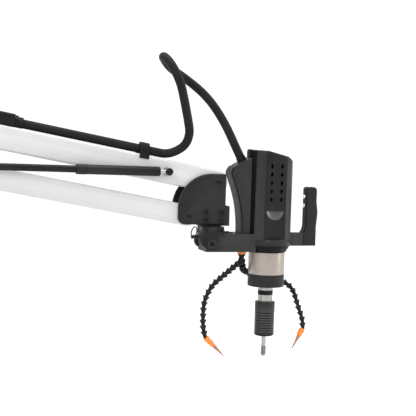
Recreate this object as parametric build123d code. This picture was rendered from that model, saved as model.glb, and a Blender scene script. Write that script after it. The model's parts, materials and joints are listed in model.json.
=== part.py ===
from build123d import *

import os
from math import cos, pi, radians, sin, tan

# Electric tapping arm machine, in millimetres. +Z is up, +X runs from the column to the spindle,
# and the origin is the centre of the base flange's underside, on the column's axis.

# ---------------------------------------------------------------- driving dimensions
ARM_LENGTH = 600.0            # pivot to pivot, both arms
ARM_SLOPE = 10.0              # degrees that the arms drop towards the head at rest
LINK = (68.6, 79.4)           # X and Z from each lower pivot to the upper pivot beside it
LOWER_REAR = (0.0, 557.0)     # X and Z of the lower rear pivot, above the column
UPPER_REAR = (LOWER_REAR[0] + LINK[0], LOWER_REAR[1] + LINK[1])
ARM_RUN = (ARM_LENGTH * cos(radians(ARM_SLOPE)), -ARM_LENGTH * sin(radians(ARM_SLOPE)))

# The head's own frame: X from the spindle axis, Z from the middle of the beam.
LOWER_FRONT = (-206.4, 63.0)
UPPER_FRONT = (LOWER_FRONT[0] + LINK[0], LOWER_FRONT[1] + LINK[1])
HEAD_X = LOWER_REAR[0] + ARM_RUN[0] - LOWER_FRONT[0]
HEAD_Z = LOWER_REAR[1] + ARM_RUN[1] - LOWER_FRONT[1]
HEAD = Pos(HEAD_X, 0, HEAD_Z)

ARM_WIDTH = 46.0
UPPER_ARM_HEIGHT = 55.0
LOWER_ARM_HEIGHT = 49.0
ARM_WALL = 4.0
ARM_EDGE = 6.0
PIN_R = 8.0
BUSH_R = 10.0
RUNNING = 0.05                # radial clearance of a running fit
OPEN_PIVOT = 0.3              # radial clearance at the linkage's open pivot
PLATE_IN, PLATE_OUT = 25.0, 33.0   # inner and outer faces of every pivot plate, in Y
SCREW_HEAD_R = 6.5
SCREW_HEAD_H = 5.0

BASE_R, BASE_THICK = 100.0, 15.0
BASE_PCD, BASE_HOLE_R, BASE_HOLES = 160.0, 5.5, 4
BASE_HUB_R, BASE_HUB_TOP = 48.0, 60.0
COLUMN_R, COLUMN_BORE, COLUMN_TOP = 30.0, 25.0, 430.0
COLUMN_FOOT = 8.0
TURRET_SHAFT_R, TURRET_FLANGE_R = 15.0, 36.0
TURRET_FLOOR, TURRET_BLOCK_TOP = 445.0, 498.0

SPRING_Y = -40.0
SPRING_PIN_BACK = 122.0       # from the upper front pivot back along the upper arm
SPRING_TUBE_R, SPRING_BORE = 11.0, 8.5
SPRING_SLEEVE_R, SPRING_SLEEVE_BORE = 8.0, 7.4
SPRING_ROD_R, SPRING_ROD_LENGTH = 3.5, 420.0
SPRING_PIN_R = 6.0
SPRING_EYE_R = 9.0

SWIVEL_X = -152.0
HUB_X = (-176.0, -104.7)
HUB_Z = (40.0, 87.0)
SWIVEL_SHAFT_R, SWIVEL_BORE = 12.0, 19.0
TILT = (-153.0, 0.0)
YOKE_X = (-172.0, -120.0)
WEB_THICK = 8.0
YOKE_Z = (26.0, 38.5)
CHEEK_IN, CHEEK_OUT = 35.0, 43.0
PLUNGER_Y, PLUNGER_Z, PLUNGER_R, PLUNGER_TRAVEL = -24.0, 14.0, 3.0, 5.5
TILT_STOPS = (0.0, 45.0)      # degrees at which the index pin can drop in

BEAM_X, BEAM_Y, BEAM_Z = (-162.0, -40.0), 34.0, (-20.9, 21.6)
RING_Z = (-7.0, 20.0)
COWL_R, COWL_WALL = 55.0, 3.0
COWL_BOTTOM, SKIRT_KNEE, SKIRT_BOTTOM, SKIRT_R = 10.2, -5.0, -22.0, 45.0
PANEL_Y, PANEL_WALL = -48.0, 7.5
VENT_COLUMNS, VENT_ROWS, VENT_TOP, VENT_PITCH = (-10.8, 14.2), 5, 182.1, 19.5
VENT_WIDTH, VENT_HEIGHT = 6.8, 12.0
FAIRING_Y = 20.0

GEARBOX_R, GEARBOX_Z = 43.0, (-76.0, -22.0)
COLLAR_R, COLLAR_Z = 43.5, (-105.0, -76.0)
SPINDLE_R, SPINDLE_END = 17.5, -141.0
BAND_Z = (-126.0, -115.0)
GEAR_MODULE, SUN_TEETH, PLANET_TEETH, RING_TEETH = 1.8, 12, 12, 36
GEAR_Z = (-56.0, -36.0)
CARRIER_R = GEAR_MODULE * (SUN_TEETH + PLANET_TEETH) / 2
SLEEVE_R, SLEEVE_BORE, SLEEVE_Z = 24.0, 20.1, (-225.0, -142.0)
TAP_SHANK_R, TAP_R, TAP_Z = 5.5, 7.0, (-275.0, -252.0, -190.0)

GRIP_BUTTONS = (110.0, 89.0)
GRIP_FACE_X = 93.0
BUTTON_R = 5.0

CABLE_R = 10.5
CABLE_ON_ARM = 39.0           # cable axis above the upper arm's axis
HOSE_R, HOSE_PITCH = 8.0, 14.0


# ---------------------------------------------------------------- plain shapes
def block(x, y, z):
    """A box between two values on each axis."""
    return Pos((x[0] + x[1]) / 2, (y[0] + y[1]) / 2, (z[0] + z[1]) / 2) * Box(
        x[1] - x[0], y[1] - y[0], z[1] - z[0])


def rod_z(radius, z, x=0.0, y=0.0):
    """A round bar along Z between the two heights in z."""
    return Pos(x, y, (z[0] + z[1]) / 2) * Cylinder(radius, z[1] - z[0])


def rod_y(radius, y, x, z):
    """A round bar along Y between the two values in y."""
    return Pos(x, (y[0] + y[1]) / 2, z) * Rot(90, 0, 0) * Cylinder(radius, y[1] - y[0])


def rod_x(radius, x, y, z):
    """A round bar along X between the two values in x."""
    return Pos((x[0] + x[1]) / 2, y, z) * Rot(0, 90, 0) * Cylinder(radius, x[1] - x[0])


def ring_z(outer, inner, z, x=0.0, y=0.0):
    """A tube along Z."""
    return rod_z(outer, z, x, y) - rod_z(inner, (z[0] - 1, z[1] + 1), x, y)


def ring_y(outer, inner, y, x, z):
    """A tube along Y."""
    return rod_y(outer, y, x, z) - rod_y(inner, (y[0] - 1, y[1] + 1), x, z)


def slab(outline, y):
    """An outline drawn in X and Z, extruded between the two values in y."""
    plane = Plane(origin=(0, y[1], 0), x_dir=(1, 0, 0), z_dir=(0, -1, 0))
    return extrude(plane * outline, amount=y[1] - y[0])


def polygon(points):
    """A closed face through points."""
    return make_face(Polyline(*points, close=True))


def both_sides(piece):
    """A piece and its mirror image in the machine's middle plane."""
    return piece + mirror(piece, about=Plane.XZ)


def turned(piece, angle, point):
    """A piece turned about the Y axis line through point (X, Z), nose down for a positive angle."""
    there = Pos(point[0], 0, point[1])
    return there * Rot(0, angle, 0) * there.inverse() * piece


def socket_screw(x, z, face_y, depth, head_r=SCREW_HEAD_R, shank_r=4.0):
    """A socket head screw on the near side: its head stands on face_y and its shank goes in."""
    head = rod_y(head_r, (face_y - SCREW_HEAD_H, face_y), x, z)
    head = chamfer(head.edges().group_by(Axis.Y)[0], 0.8)
    key = Pos(x, face_y - SCREW_HEAD_H, z) * Rot(90, 0, 0) * extrude(
        RegularPolygon(head_r * 0.5, 6), amount=3.0, both=True)
    return head - key + rod_y(shank_r, (face_y, face_y + depth), x, z)


def screw_holes(places, shank_r, y):
    """Clearance holes along Y at each (x, z)."""
    return [rod_y(shank_r + RUNNING, y, x, z) for x, z in places]


def vector_angle(a, b):
    return radians(a.get_angle(b))


# ---------------------------------------------------------------- base and column (root)
def make_base_flange():
    flange = rod_z(BASE_R, (0, BASE_THICK)) + rod_z(BASE_HUB_R, (BASE_THICK, BASE_HUB_TOP))
    flange = fillet(flange.edges().filter_by(GeomType.CIRCLE).group_by(Axis.Z)[-1], 3)
    flange -= rod_z(COLUMN_R, (COLUMN_FOOT, BASE_HUB_TOP + 1))
    for location in PolarLocations(BASE_PCD / 2, BASE_HOLES, start_angle=45):
        flange -= location * Cylinder(BASE_HOLE_R, 3 * BASE_THICK)
    return flange


BEARING_HEIGHTS = ((300.0, 316.0), (412.0, 428.0))


def make_column_tube():
    return ring_z(COLUMN_R, COLUMN_BORE, (COLUMN_FOOT, COLUMN_TOP))


def make_column_bearings():
    return [ring_z(COLUMN_BORE, TURRET_SHAFT_R + RUNNING, z) for z in BEARING_HEIGHTS]


# ---------------------------------------------------------------- turret (rear knuckle)
TURRET_OUTLINE = ((-38, 449), (46, 449), (104, 598), (104, 672), (38, 672), (-38, 592))
TURRET_SCREWS = ((-24, 464), (32, 464), (-24, 484), (32, 484))


def make_turret_shaft():
    shaft = rod_z(TURRET_SHAFT_R, (290, TURRET_FLOOR))
    return shaft + rod_z(TURRET_FLANGE_R, (COLUMN_TOP + 1, TURRET_FLOOR))


def make_turret_block():
    body = block((-38, 46), (-PLATE_IN, PLATE_IN), (TURRET_FLOOR, TURRET_BLOCK_TOP))
    body = fillet(body.edges().filter_by(Axis.Y).group_by(Axis.Z)[-1], 6)
    for hole in screw_holes(TURRET_SCREWS, 4.0, (-PLATE_IN - 1, -10)):
        body -= hole
        body -= mirror(hole, about=Plane.XZ)
    return body


def make_turret_plate(side):
    face = polygon(TURRET_OUTLINE)
    corners = face.vertices().sort_by(Axis.Y)
    face = fillet(corners[2:], 22)
    face = fillet(face.vertices().group_by(Axis.Y)[0], 6)
    plate = slab(face, (-PLATE_OUT, -PLATE_IN))
    plate = chamfer(plate.edges().group_by(Axis.Y)[0], 0.8)
    for x, z in (UPPER_REAR, LOWER_REAR):
        plate -= rod_y(PIN_R, (-PLATE_OUT - 1, -PLATE_IN + 1), x, z)
    for hole in screw_holes(TURRET_SCREWS, 4.0, (-PLATE_OUT - 1, -PLATE_IN + 1)):
        plate -= hole
    return plate if side < 0 else mirror(plate, about=Plane.XZ)


def make_plate_screws(places, depth=15.0):
    near = [socket_screw(x, z, -PLATE_OUT, depth) for x, z in places]
    return near + [mirror(screw, about=Plane.XZ) for screw in near]


def pin_screw(x, z):
    """A short screw in the near end of a pivot pin."""
    return socket_screw(x, z, -PLATE_OUT, 12.0, shank_r=3.5)


def pin_tap(x, z):
    """The hole that a pin screw sits in."""
    return rod_y(3.5 + RUNNING, (-PLATE_OUT - 1, -PLATE_OUT + 12), x, z)


def make_pivot_pin(place):
    """A pin between two plates, drilled at both ends for its screws."""
    pin = rod_y(PIN_R, (-PLATE_OUT, PLATE_OUT), *place)
    return pin - pin_tap(*place) - mirror(pin_tap(*place), about=Plane.XZ)


def make_lower_rear_pin():
    """The lower rear pin carries the gas spring's rear eye on its near end."""
    x, z = LOWER_REAR
    pin = rod_y(PIN_R, (-PLATE_OUT, PLATE_OUT), x, z)
    pin += rod_y(SPRING_PIN_R, (SPRING_Y - 6, -PLATE_OUT), x, z)
    pin += rod_y(SPRING_EYE_R, (SPRING_Y - 10, SPRING_Y - 6), x, z)
    return pin - mirror(pin_tap(x, z), about=Plane.XZ)


def make_pin_screws(both, far_only=()):
    """Pin screws on both sides for the first places, and on the far side for the rest."""
    screws = [pin_screw(*place) for place in both]
    screws += [mirror(pin_screw(*place), about=Plane.XZ) for place in tuple(both) + tuple(far_only)]
    return screws


# ---------------------------------------------------------------- arms
def on_upper_arm(piece):
    """Place a piece drawn along +X from the upper rear pivot."""
    return Pos(UPPER_REAR[0], 0, UPPER_REAR[1]) * Rot(0, ARM_SLOPE, 0) * piece


def on_lower_arm(piece):
    """Place a piece drawn along +X from the lower rear pivot."""
    return Pos(LOWER_REAR[0], 0, LOWER_REAR[1]) * Rot(0, ARM_SLOPE, 0) * piece


def arm_bar(height):
    """A full bar with round ends and rounded long edges."""
    bar = slab(Pos(ARM_LENGTH / 2, 0) * SlotCenterToCenter(ARM_LENGTH, height),
               (-ARM_WIDTH / 2, ARM_WIDTH / 2))
    return fillet(bar.faces().filter_by(Axis.Y).edges(), ARM_EDGE)


def arm_cavity(height):
    return block((-100, ARM_LENGTH + 100), (-ARM_WIDTH / 2 + ARM_WALL, ARM_WIDTH / 2 - ARM_WALL),
                 (-height / 2 + ARM_WALL, height / 2 - ARM_WALL))


def end_bores():
    return [rod_y(BUSH_R, (-ARM_WIDTH, ARM_WIDTH), x, 0) for x in (0, ARM_LENGTH)]


def make_arm(height, extra_holes=()):
    tube = arm_bar(height) - arm_cavity(height)
    for hole in end_bores() + list(extra_holes):
        tube -= hole
    return tube


def make_end_blocks(height):
    """The two solid blocks that close an arm's ends and carry its bushes."""
    core = arm_bar(height) & arm_cavity(height)
    for bore in end_bores():
        core -= bore
    reach = 45.0
    ends = ((-100, reach), (ARM_LENGTH - reach, ARM_LENGTH + 100))
    return [core & block(x, (-ARM_WIDTH, ARM_WIDTH), (-height, height)) for x in ends]


def make_bushes(front_clearance=RUNNING):
    y = (-ARM_WIDTH / 2 - 1, ARM_WIDTH / 2 + 1)
    return [ring_y(BUSH_R, PIN_R + RUNNING, y, 0, 0),
            ring_y(BUSH_R, PIN_R + front_clearance, y, ARM_LENGTH, 0)]


CLIP_AT = 419.0               # along the upper arm from its rear pivot
CLIP_HALF = 11.0
ENTRY_X = (58.0, 120.0)
ARM_TOP = UPPER_ARM_HEIGHT / 2


def make_cable_clip():
    """A saddle that straddles the arm's top edge and closes over the cable."""
    side = ARM_WIDTH / 2
    x = (CLIP_AT - CLIP_HALF, CLIP_AT + CLIP_HALF)
    foot = block(x, (-side - 3, side + 3), (ARM_TOP - 9, ARM_TOP + 5))
    foot -= arm_bar(UPPER_ARM_HEIGHT)
    hoop = rod_x(CABLE_R + 6, x, 0, CABLE_ON_ARM)
    hoop += block(x, (-CABLE_R - 6, CABLE_R + 6), (ARM_TOP + 4, CABLE_ON_ARM))
    clip = foot + (hoop - arm_bar(UPPER_ARM_HEIGHT))
    return clip - rod_x(CABLE_R + 0.1, (x[0] - 1, x[1] + 1), 0, CABLE_ON_ARM)


def make_cable_entry():
    """The box on the arm's top where the cable goes into the arm."""
    box = block(ENTRY_X, (-20, 20), (ARM_TOP - 6, ARM_TOP + 29))
    box = fillet(box.edges().filter_by(Axis.X).group_by(Axis.Z)[-1], 6)
    return box - arm_bar(UPPER_ARM_HEIGHT)


def make_entry_gland():
    """A hexagon gland nut on the entry box, round the cable."""
    x0 = ENTRY_X[1]
    nut = Pos(x0, 0, CABLE_ON_ARM) * Rot(0, 90, 0) * extrude(RegularPolygon(16.0, 6), amount=9)
    nut += rod_x(13.5, (x0 + 9, x0 + 20), 0, CABLE_ON_ARM)
    nut -= arm_bar(UPPER_ARM_HEIGHT)
    return nut - rod_x(CABLE_R + 0.1, (x0 - 1, x0 + 21), 0, CABLE_ON_ARM)


# ---------------------------------------------------------------- gas spring
SPRING_B = (UPPER_REAR[0] + (ARM_LENGTH - SPRING_PIN_BACK) * cos(radians(ARM_SLOPE)),
            UPPER_REAR[1] - (ARM_LENGTH - SPRING_PIN_BACK) * sin(radians(ARM_SLOPE)))
SPRING_LINE = Vector(LOWER_REAR[0] - SPRING_B[0], 0, LOWER_REAR[1] - SPRING_B[1])
SPRING_LENGTH = SPRING_LINE.length
SPRING_EYE_Y = (SPRING_Y - 5, SPRING_Y + 5)
TUBE_X, COLLAR_X, SLEEVE_X = (20.5, 187.0), (187.0, 212.0), (212.0, 400.0)


def on_spring(piece):
    """Place a piece drawn along +X from the front pin towards the rear pin."""
    plane = Plane(origin=(SPRING_B[0], SPRING_Y, SPRING_B[1]), x_dir=SPRING_LINE.normalized(),
                  z_dir=(0, -1, 0))
    return plane.location * Rot(90, 0, 0) * piece


def eye(x, stem):
    """A flat eye about the origin's Y line at x, with a round stem."""
    body = rod_y(SPRING_EYE_R, (-5, 5), x, 0) + rod_x(5, stem, 0, 0)
    return body - rod_y(SPRING_PIN_R + RUNNING, (-6, 6), x, 0)


def make_spring_tube():
    tube = rod_x(SPRING_TUBE_R, TUBE_X, 0, 0)
    tube = fillet(tube.edges().filter_by(GeomType.CIRCLE).group_by(Axis.X)[0], 3)
    return tube - rod_x(SPRING_BORE, (TUBE_X[0] + 6, TUBE_X[1] + 1), 0, 0)


def make_spring_collar():
    ring = rod_x(SPRING_TUBE_R + 0.5, COLLAR_X, 0, 0)
    ring = chamfer(ring.edges().filter_by(GeomType.CIRCLE), 1)
    return ring - rod_x(SPRING_BORE, (COLLAR_X[0] - 1, COLLAR_X[1] + 1), 0, 0)


def make_spring_sleeve():
    sleeve = rod_x(SPRING_SLEEVE_R, SLEEVE_X, 0, 0)
    flange = rod_x(SPRING_BORE, (SLEEVE_X[0] - 8, SLEEVE_X[0]), 0, 0)
    return sleeve + flange - rod_x(SPRING_SLEEVE_BORE, (SLEEVE_X[0] - 9, SLEEVE_X[1] + 1), 0, 0)


def make_spring_rod():
    """The rod and its piston, with room around them for the linkage's constant ratios."""
    start = SPRING_LENGTH - SPRING_ROD_LENGTH
    rod = rod_x(SPRING_ROD_R, (start, SPRING_LENGTH - 14), 0, 0)
    return rod + rod_x(4.3, (start, start + 12), 0, 0)


def make_spring_front_pin():
    """The pin on the upper arm, with a flange against the arm and a round head."""
    x = ARM_LENGTH - SPRING_PIN_BACK
    side = -ARM_WIDTH / 2
    pin = rod_y(SPRING_PIN_R, (SPRING_Y - 5.5, side + ARM_WALL + 8), x, 0)
    pin += rod_y(8.3, (SPRING_Y - 10, SPRING_Y - 5.5), x, 0)
    pin = fillet(pin.edges().filter_by(GeomType.CIRCLE).group_by(Axis.Y)[0], 1.5)
    return pin + rod_y(9.0, (SPRING_Y + 6, side), x, 0)


# ---------------------------------------------------------------- front knuckle
KNUCKLE_ARC = 80.0
KNUCKLE_CENTRE = (-150.0, 81.0)
KNUCKLE_RIGHT, KNUCKLE_BOTTOM = -117.0, 43.0
KNUCKLE_SCREWS = ((-163.8, 72.0), (-126.3, 72.0), (-163.8, 54.0), (-126.3, 54.0))


def make_knuckle_plate(side):
    """A quarter-round plate: the arc faces up and back, and the front edge is straight."""
    cx, cz = KNUCKLE_CENTRE
    left, top = cx - KNUCKLE_ARC, cz + KNUCKLE_ARC
    edges = Curve() + [
        Line((left, KNUCKLE_BOTTOM), (KNUCKLE_RIGHT, KNUCKLE_BOTTOM)),
        Line((KNUCKLE_RIGHT, KNUCKLE_BOTTOM), (KNUCKLE_RIGHT, top)),
        Line((KNUCKLE_RIGHT, top), (cx, top)),
        CenterArc((cx, cz), KNUCKLE_ARC, 90, 90),
        Line((left, cz), (left, KNUCKLE_BOTTOM))]
    face = make_face(edges)
    low = face.vertices().group_by(Axis.Y)[0].sort_by(Axis.X)
    face = fillet(low[0], 16)
    plate = slab(face, (-PLATE_OUT, -PLATE_IN))
    plate = chamfer(plate.edges().group_by(Axis.Y)[0], 2.5)
    for x, z in (UPPER_FRONT, LOWER_FRONT):
        plate -= rod_y(PIN_R, (-PLATE_OUT - 1, -PLATE_IN + 1), x, z)
    for hole in screw_holes(KNUCKLE_SCREWS, 4.0, (-PLATE_OUT - 1, -PLATE_IN + 1)):
        plate -= hole
    return plate if side < 0 else mirror(plate, about=Plane.XZ)


def make_hub_block():
    hub = block(HUB_X, (-PLATE_IN, PLATE_IN), HUB_Z)
    hub = fillet(hub.edges().filter_by(Axis.Y).group_by(Axis.Z)[-1], 4)
    hub -= rod_z(SWIVEL_BORE, (HUB_Z[0] - 1, HUB_Z[1] + 1), SWIVEL_X)
    for hole in screw_holes(KNUCKLE_SCREWS, 4.0, (-PLATE_IN - 1, -17)):
        hub -= hole
        hub -= mirror(hole, about=Plane.XZ)
    return hub


def make_swivel_bearings():
    return [ring_z(SWIVEL_BORE, SWIVEL_SHAFT_R + RUNNING, z, SWIVEL_X)
            for z in ((41, 52), (75, 86))]


# ---------------------------------------------------------------- swivel yoke
CHEEK_SCREWS = ((-131.0, 31.0), (-165.0, 32.0))
FAR_CHEEK_SCREWS = ((-131.0, 31.0), (-152.0, 32.0))


def make_swivel_shaft():
    shaft = rod_z(SWIVEL_SHAFT_R, (YOKE_Z[0] + 2, 98), SWIVEL_X)
    return chamfer(shaft.edges().group_by(Axis.Z)[-1], 1)


def make_swivel_nut():
    nut = Pos(SWIVEL_X, 0, HUB_Z[1] + 1) * extrude(RegularPolygon(18.0, 6), amount=9)
    return nut - rod_z(SWIVEL_SHAFT_R, (0, 200), SWIVEL_X)


def make_thrust_washer():
    return ring_z(24.0, SWIVEL_SHAFT_R + RUNNING, (YOKE_Z[1], YOKE_Z[1] + 1.0), SWIVEL_X)


def make_yoke():
    """The crown over the beam's end, and the web behind it that carries the index plunger."""
    crown = block(YOKE_X, (-CHEEK_IN, CHEEK_IN), YOKE_Z)
    web = block((YOKE_X[0], YOKE_X[0] + WEB_THICK), (-CHEEK_IN, -12), (5, YOKE_Z[0]))
    yoke = crown + web
    yoke = fillet(yoke.edges().filter_by(Axis.Y).sort_by(Axis.X)[0], 2)
    yoke -= rod_z(SWIVEL_SHAFT_R, (YOKE_Z[0] + 2, YOKE_Z[1] + 1), SWIVEL_X)
    yoke -= rod_x(6.0, (YOKE_X[0] - 1, YOKE_X[0] + WEB_THICK + 1), PLUNGER_Y, PLUNGER_Z)
    yoke -= extrude(Plane.XY * polygon(((-174, -11), (-160, 36), (-174, 36))), amount=50)
    for hole in screw_holes(CHEEK_SCREWS, 3.0, (-CHEEK_IN - 1, -CHEEK_IN + 14)):
        yoke -= hole
    for hole in screw_holes(FAR_CHEEK_SCREWS, 3.0, (-CHEEK_IN - 1, -CHEEK_IN + 14)):
        yoke -= mirror(hole, about=Plane.XZ)
    return yoke


def make_cheek(side):
    """A round side plate, flat on top to pass under the hub; the far one is narrower."""
    lobe = Pos(-157, 13) * Circle(25) if side < 0 else polygon(
        ((-162, 40), (-131, 40), (-140, -5), (-162, -5)))
    nose = Pos(*CHEEK_SCREWS[0]) * Circle(9)
    bridge = polygon(((-157, 38), (-131, 40), (-122, 31), (-131, 20), (-140, -5), (-157, -5)))
    low = Pos(*TILT) * Circle(17)
    face = (lobe + nose + bridge + low) & polygon(
        ((-200, -40), (-100, -40), (-100, YOKE_Z[1]), (-200, YOKE_Z[1])))
    cheek = slab(face, (-CHEEK_OUT, -CHEEK_IN))
    cheek += rod_y(13.0, (-CHEEK_OUT - 2, -CHEEK_OUT), *TILT)
    cheek -= rod_y(PIN_R, (-CHEEK_OUT - 3, -CHEEK_IN + 1), *TILT)
    screws = CHEEK_SCREWS if side < 0 else FAR_CHEEK_SCREWS
    for hole in screw_holes(screws, 3.0, (-CHEEK_OUT - 1, -CHEEK_IN + 1)):
        cheek -= hole
    return cheek if side < 0 else mirror(cheek, about=Plane.XZ)


def make_cheek_screws():
    heads = (SCREW_HEAD_R, 4.5)
    near = [socket_screw(x, z, -CHEEK_OUT, 20.0, head_r=head, shank_r=3.0)
            for (x, z), head in zip(CHEEK_SCREWS, heads)]
    far = [socket_screw(x, z, -CHEEK_OUT, 20.0, head_r=head, shank_r=3.0)
           for (x, z), head in zip(FAR_CHEEK_SCREWS, heads)]
    return near + [mirror(screw, about=Plane.XZ) for screw in far]


def make_tilt_pin():
    """The pin through both cheeks and the beam's end, with a socket head each side."""
    half = CHEEK_OUT + 2
    pin = rod_y(PIN_R, (-half, half), *TILT)
    for side in (-1, 1):
        outer = sorted((side * half, side * (half + 6)))
        head = rod_y(10.5, outer, *TILT)
        key = Pos(TILT[0], side * (half + 6), TILT[1]) * Rot(90, 0, 0) * extrude(
            RegularPolygon(5.0, 6), amount=3.5, both=True)
        pin += head - key
    return pin


def make_plunger_sleeve():
    """The threaded sleeve in the web that guides the index pin."""
    x = (YOKE_X[0] - 4, YOKE_X[0] + WEB_THICK)
    nut = Pos(x[0], PLUNGER_Y, PLUNGER_Z) * Rot(0, 90, 0) * extrude(RegularPolygon(7.5, 6), amount=4)
    sleeve = rod_x(6.0, x, PLUNGER_Y, PLUNGER_Z) + nut
    return sleeve - rod_x(PLUNGER_R + RUNNING, (x[0] - 1, x[1] + 1), PLUNGER_Y, PLUNGER_Z)


PLUNGER_TIP = BEAM_X[0] - 0.5
RING_CENTRE = (-189.5, 25.0)


def pull_ring_wire(radius):
    """The oval wire loop in the X-Z plane that pulls the index pin."""
    path = Wire.make_ellipse(12.5, 6.2, Plane(origin=(RING_CENTRE[0], PLUNGER_Y, RING_CENTRE[1]),
                                              x_dir=(0.25, 0, 1), z_dir=(0, 1, 0)))
    start = path @ 0
    return sweep(Plane(origin=start, z_dir=path % 0) * Circle(radius), path=path)


def make_plunger_pin():
    """The index pin, parked: its tip stands just clear of the beam."""
    pin = rod_x(PLUNGER_R, (YOKE_X[0] - 24, PLUNGER_TIP), PLUNGER_Y, PLUNGER_Z)
    pin += rod_x(4.5, (YOKE_X[0] - 24, YOKE_X[0] - 16.5), PLUNGER_Y, PLUNGER_Z)
    return pin - pull_ring_wire(1.35)


# ---------------------------------------------------------------- beam
def index_hole():
    """The hole in the beam's end that the index pin drops into."""
    return rod_x(PLUNGER_R + 0.15, (BEAM_X[0] - 30, BEAM_X[0] + PLUNGER_TRAVEL), PLUNGER_Y, PLUNGER_Z)


def beam_in_cowl():
    """The window in the cowl and the skirt that the beam comes in through."""
    return block((-80, -20), (-BEAM_Y, BEAM_Y), BEAM_Z)


def behind_panel(piece):
    """A piece inside the cowl, cut off behind the flat front panel."""
    return piece - block((-80, 80), (-80, PANEL_Y + PANEL_WALL), (BEAM_Z[0] - 1, 200))


def make_beam():
    """A hollow bar with a ring at the head end that carries the motor and the gearbox."""
    beam = block(BEAM_X, (-BEAM_Y, BEAM_Y), BEAM_Z)
    beam = fillet(beam.edges().filter_by(Axis.X), 2.5)
    beam = chamfer(beam.edges().group_by(Axis.X)[0], 1.0)
    beam -= block((-132, -39), (-BEAM_Y + 6, BEAM_Y - 6), (BEAM_Z[0] + 6, BEAM_Z[1] - 6))
    beam += behind_panel(rod_z(COWL_R - COWL_WALL, RING_Z))
    beam -= rod_z(36, (BEAM_Z[0] - 1, BEAM_Z[1] + 1))
    beam -= rod_y(PIN_R + RUNNING, (-BEAM_Y - 1, BEAM_Y + 1), *TILT)
    for stop in TILT_STOPS:
        beam -= turned(index_hole(), -stop, TILT)
    return beam


# ---------------------------------------------------------------- motor cowl, skirt, fairing
COWL_PROFILE = ((-60, COWL_BOTTOM), (60, COWL_BOTTOM), (60, 193), (34, 205), (-18, 218), (-60, 220))


def cowl_body(inset):
    """The cowl's outer form, or the hollow inside it when inset is a wall thickness."""
    radius = COWL_R - inset
    front = PANEL_Y + (PANEL_WALL if inset else 0)
    plan = Circle(radius) & polygon(((-80, front), (80, front), (80, 80), (-80, 80)))
    tall = extrude(Plane.XY.offset(COWL_BOTTOM) * plan, amount=230)
    profile = polygon(COWL_PROFILE)
    profile = fillet(profile.vertices().sort_by(Axis.Y)[2:], 6)
    if inset:
        profile = Pos(0, -inset) * profile
        profile += polygon(((-60, 0), (60, 0), (60, 20), (-60, 20)))
        tall += extrude(Plane.XY * plan, amount=20)
    return tall & slab(profile, (-80, 80))


def handle_arm_box(x=(30.0, 118.0)):
    return block(x, (-14.5, 14.5), (-8.0, 23.0))


def vent(x, z):
    """One vent: a pointed oval hole through the flat panel."""
    half_w, half_h = VENT_WIDTH / 2, VENT_HEIGHT / 2
    outline = make_face(Curve() + [
        ThreePointArc((x, z - half_h), (x + half_w, z), (x, z + half_h)),
        ThreePointArc((x, z + half_h), (x - half_w, z), (x, z - half_h))])
    return slab(outline, (PANEL_Y - 1, PANEL_Y + PANEL_WALL + 1))


def half_moon():
    """The scooped recess under the vents: flat on top, round below."""
    width, depth, top = 21.0, 6.0, 77.0
    sphere_r = (width ** 2 + depth ** 2) / (2 * depth)
    scoop = Pos(0, PANEL_Y - (sphere_r - depth), top) * Sphere(sphere_r)
    return scoop & block((-40, 40), (PANEL_Y - 1, PANEL_Y + depth + 1), (top - 40, top))


def make_cowl():
    cowl = cowl_body(0) - cowl_body(COWL_WALL)
    for x in VENT_COLUMNS:
        for row in range(VENT_ROWS):
            cowl -= vent(x, VENT_TOP - VENT_PITCH * row)
    cowl -= half_moon()
    cowl -= handle_arm_box()
    cowl -= beam_in_cowl()
    return cowl - block((-80, -30), (-FAIRING_Y + 6, FAIRING_Y - 6), (40, 170))


def skirt_form(wall):
    """The skirt's turned form: a short cylinder and a cone under it."""
    top, knee, low = COWL_BOTTOM, SKIRT_KNEE, SKIRT_BOTTOM
    r = COWL_R - wall
    cone_r = SKIRT_R - wall
    profile = polygon(((0, low), (cone_r, low), (r, knee), (r, top), (0, top)))
    return revolve(Plane.XZ * profile, Axis.Z)


def make_skirt():
    skirt = skirt_form(0)
    skirt -= skirt_form(COWL_WALL) & rod_z(80, (SKIRT_BOTTOM + 3, COWL_BOTTOM + 1))
    skirt -= rod_z(36, (SKIRT_BOTTOM - 1, 0))
    skirt -= handle_arm_box()
    skirt -= beam_in_cowl()
    skirt -= rod_z(COWL_R - COWL_WALL, (RING_Z[0], COWL_BOTTOM + 1))
    for angle in SKIRT_SCREW_ANGLES:
        skirt -= skirt_screw(angle, RUNNING)
    return skirt


SKIRT_SCREW_ANGLES = (-107.0, -21.0, 21.0, 107.0)


def skirt_screw(angle, grow=0.0):
    """A small screw through the skirt's wall, at an angle round the spindle axis."""
    reach = COWL_R - COWL_WALL
    head = rod_x(2.6 + grow, (COWL_R - 1, COWL_R + (9 if grow else 0.8)), 0, 0)
    return Rot(0, 0, angle) * Pos(0, 0, 7.0) * (head + rod_x(2.0 + grow, (reach, COWL_R - 1), 0, 0))


def make_skirt_screws():
    return [skirt_screw(angle) for angle in SKIRT_SCREW_ANGLES]


FAIRING_BACK = ((-104, 163), (-96.5, 143), (-86, 112), (-78, 75), (-74.5, 22))
BACK_THICK, BACK_GAP = 2.8, 1.8


def fairing_face(inset, back_inset):
    """The fairing's side outline, with its curved back moved forward by back_inset."""
    back = [(x + back_inset, z + (inset if i == len(FAIRING_BACK) - 1 else 0))
            for i, (x, z) in enumerate(FAIRING_BACK)]
    top = 202 - inset
    edges = Curve() + [
        Spline(*back),
        Line(back[-1], (-30, back[-1][1])),
        Line((-30, back[-1][1]), (-30, top + 7)),
        Line((-30, top + 7), (-50, top)),
        Line((-50, top), (-85, top - 17)),
        Spline((-85, top - 17), (-99 + back_inset, top - 27), back[0])]
    return make_face(edges)


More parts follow.
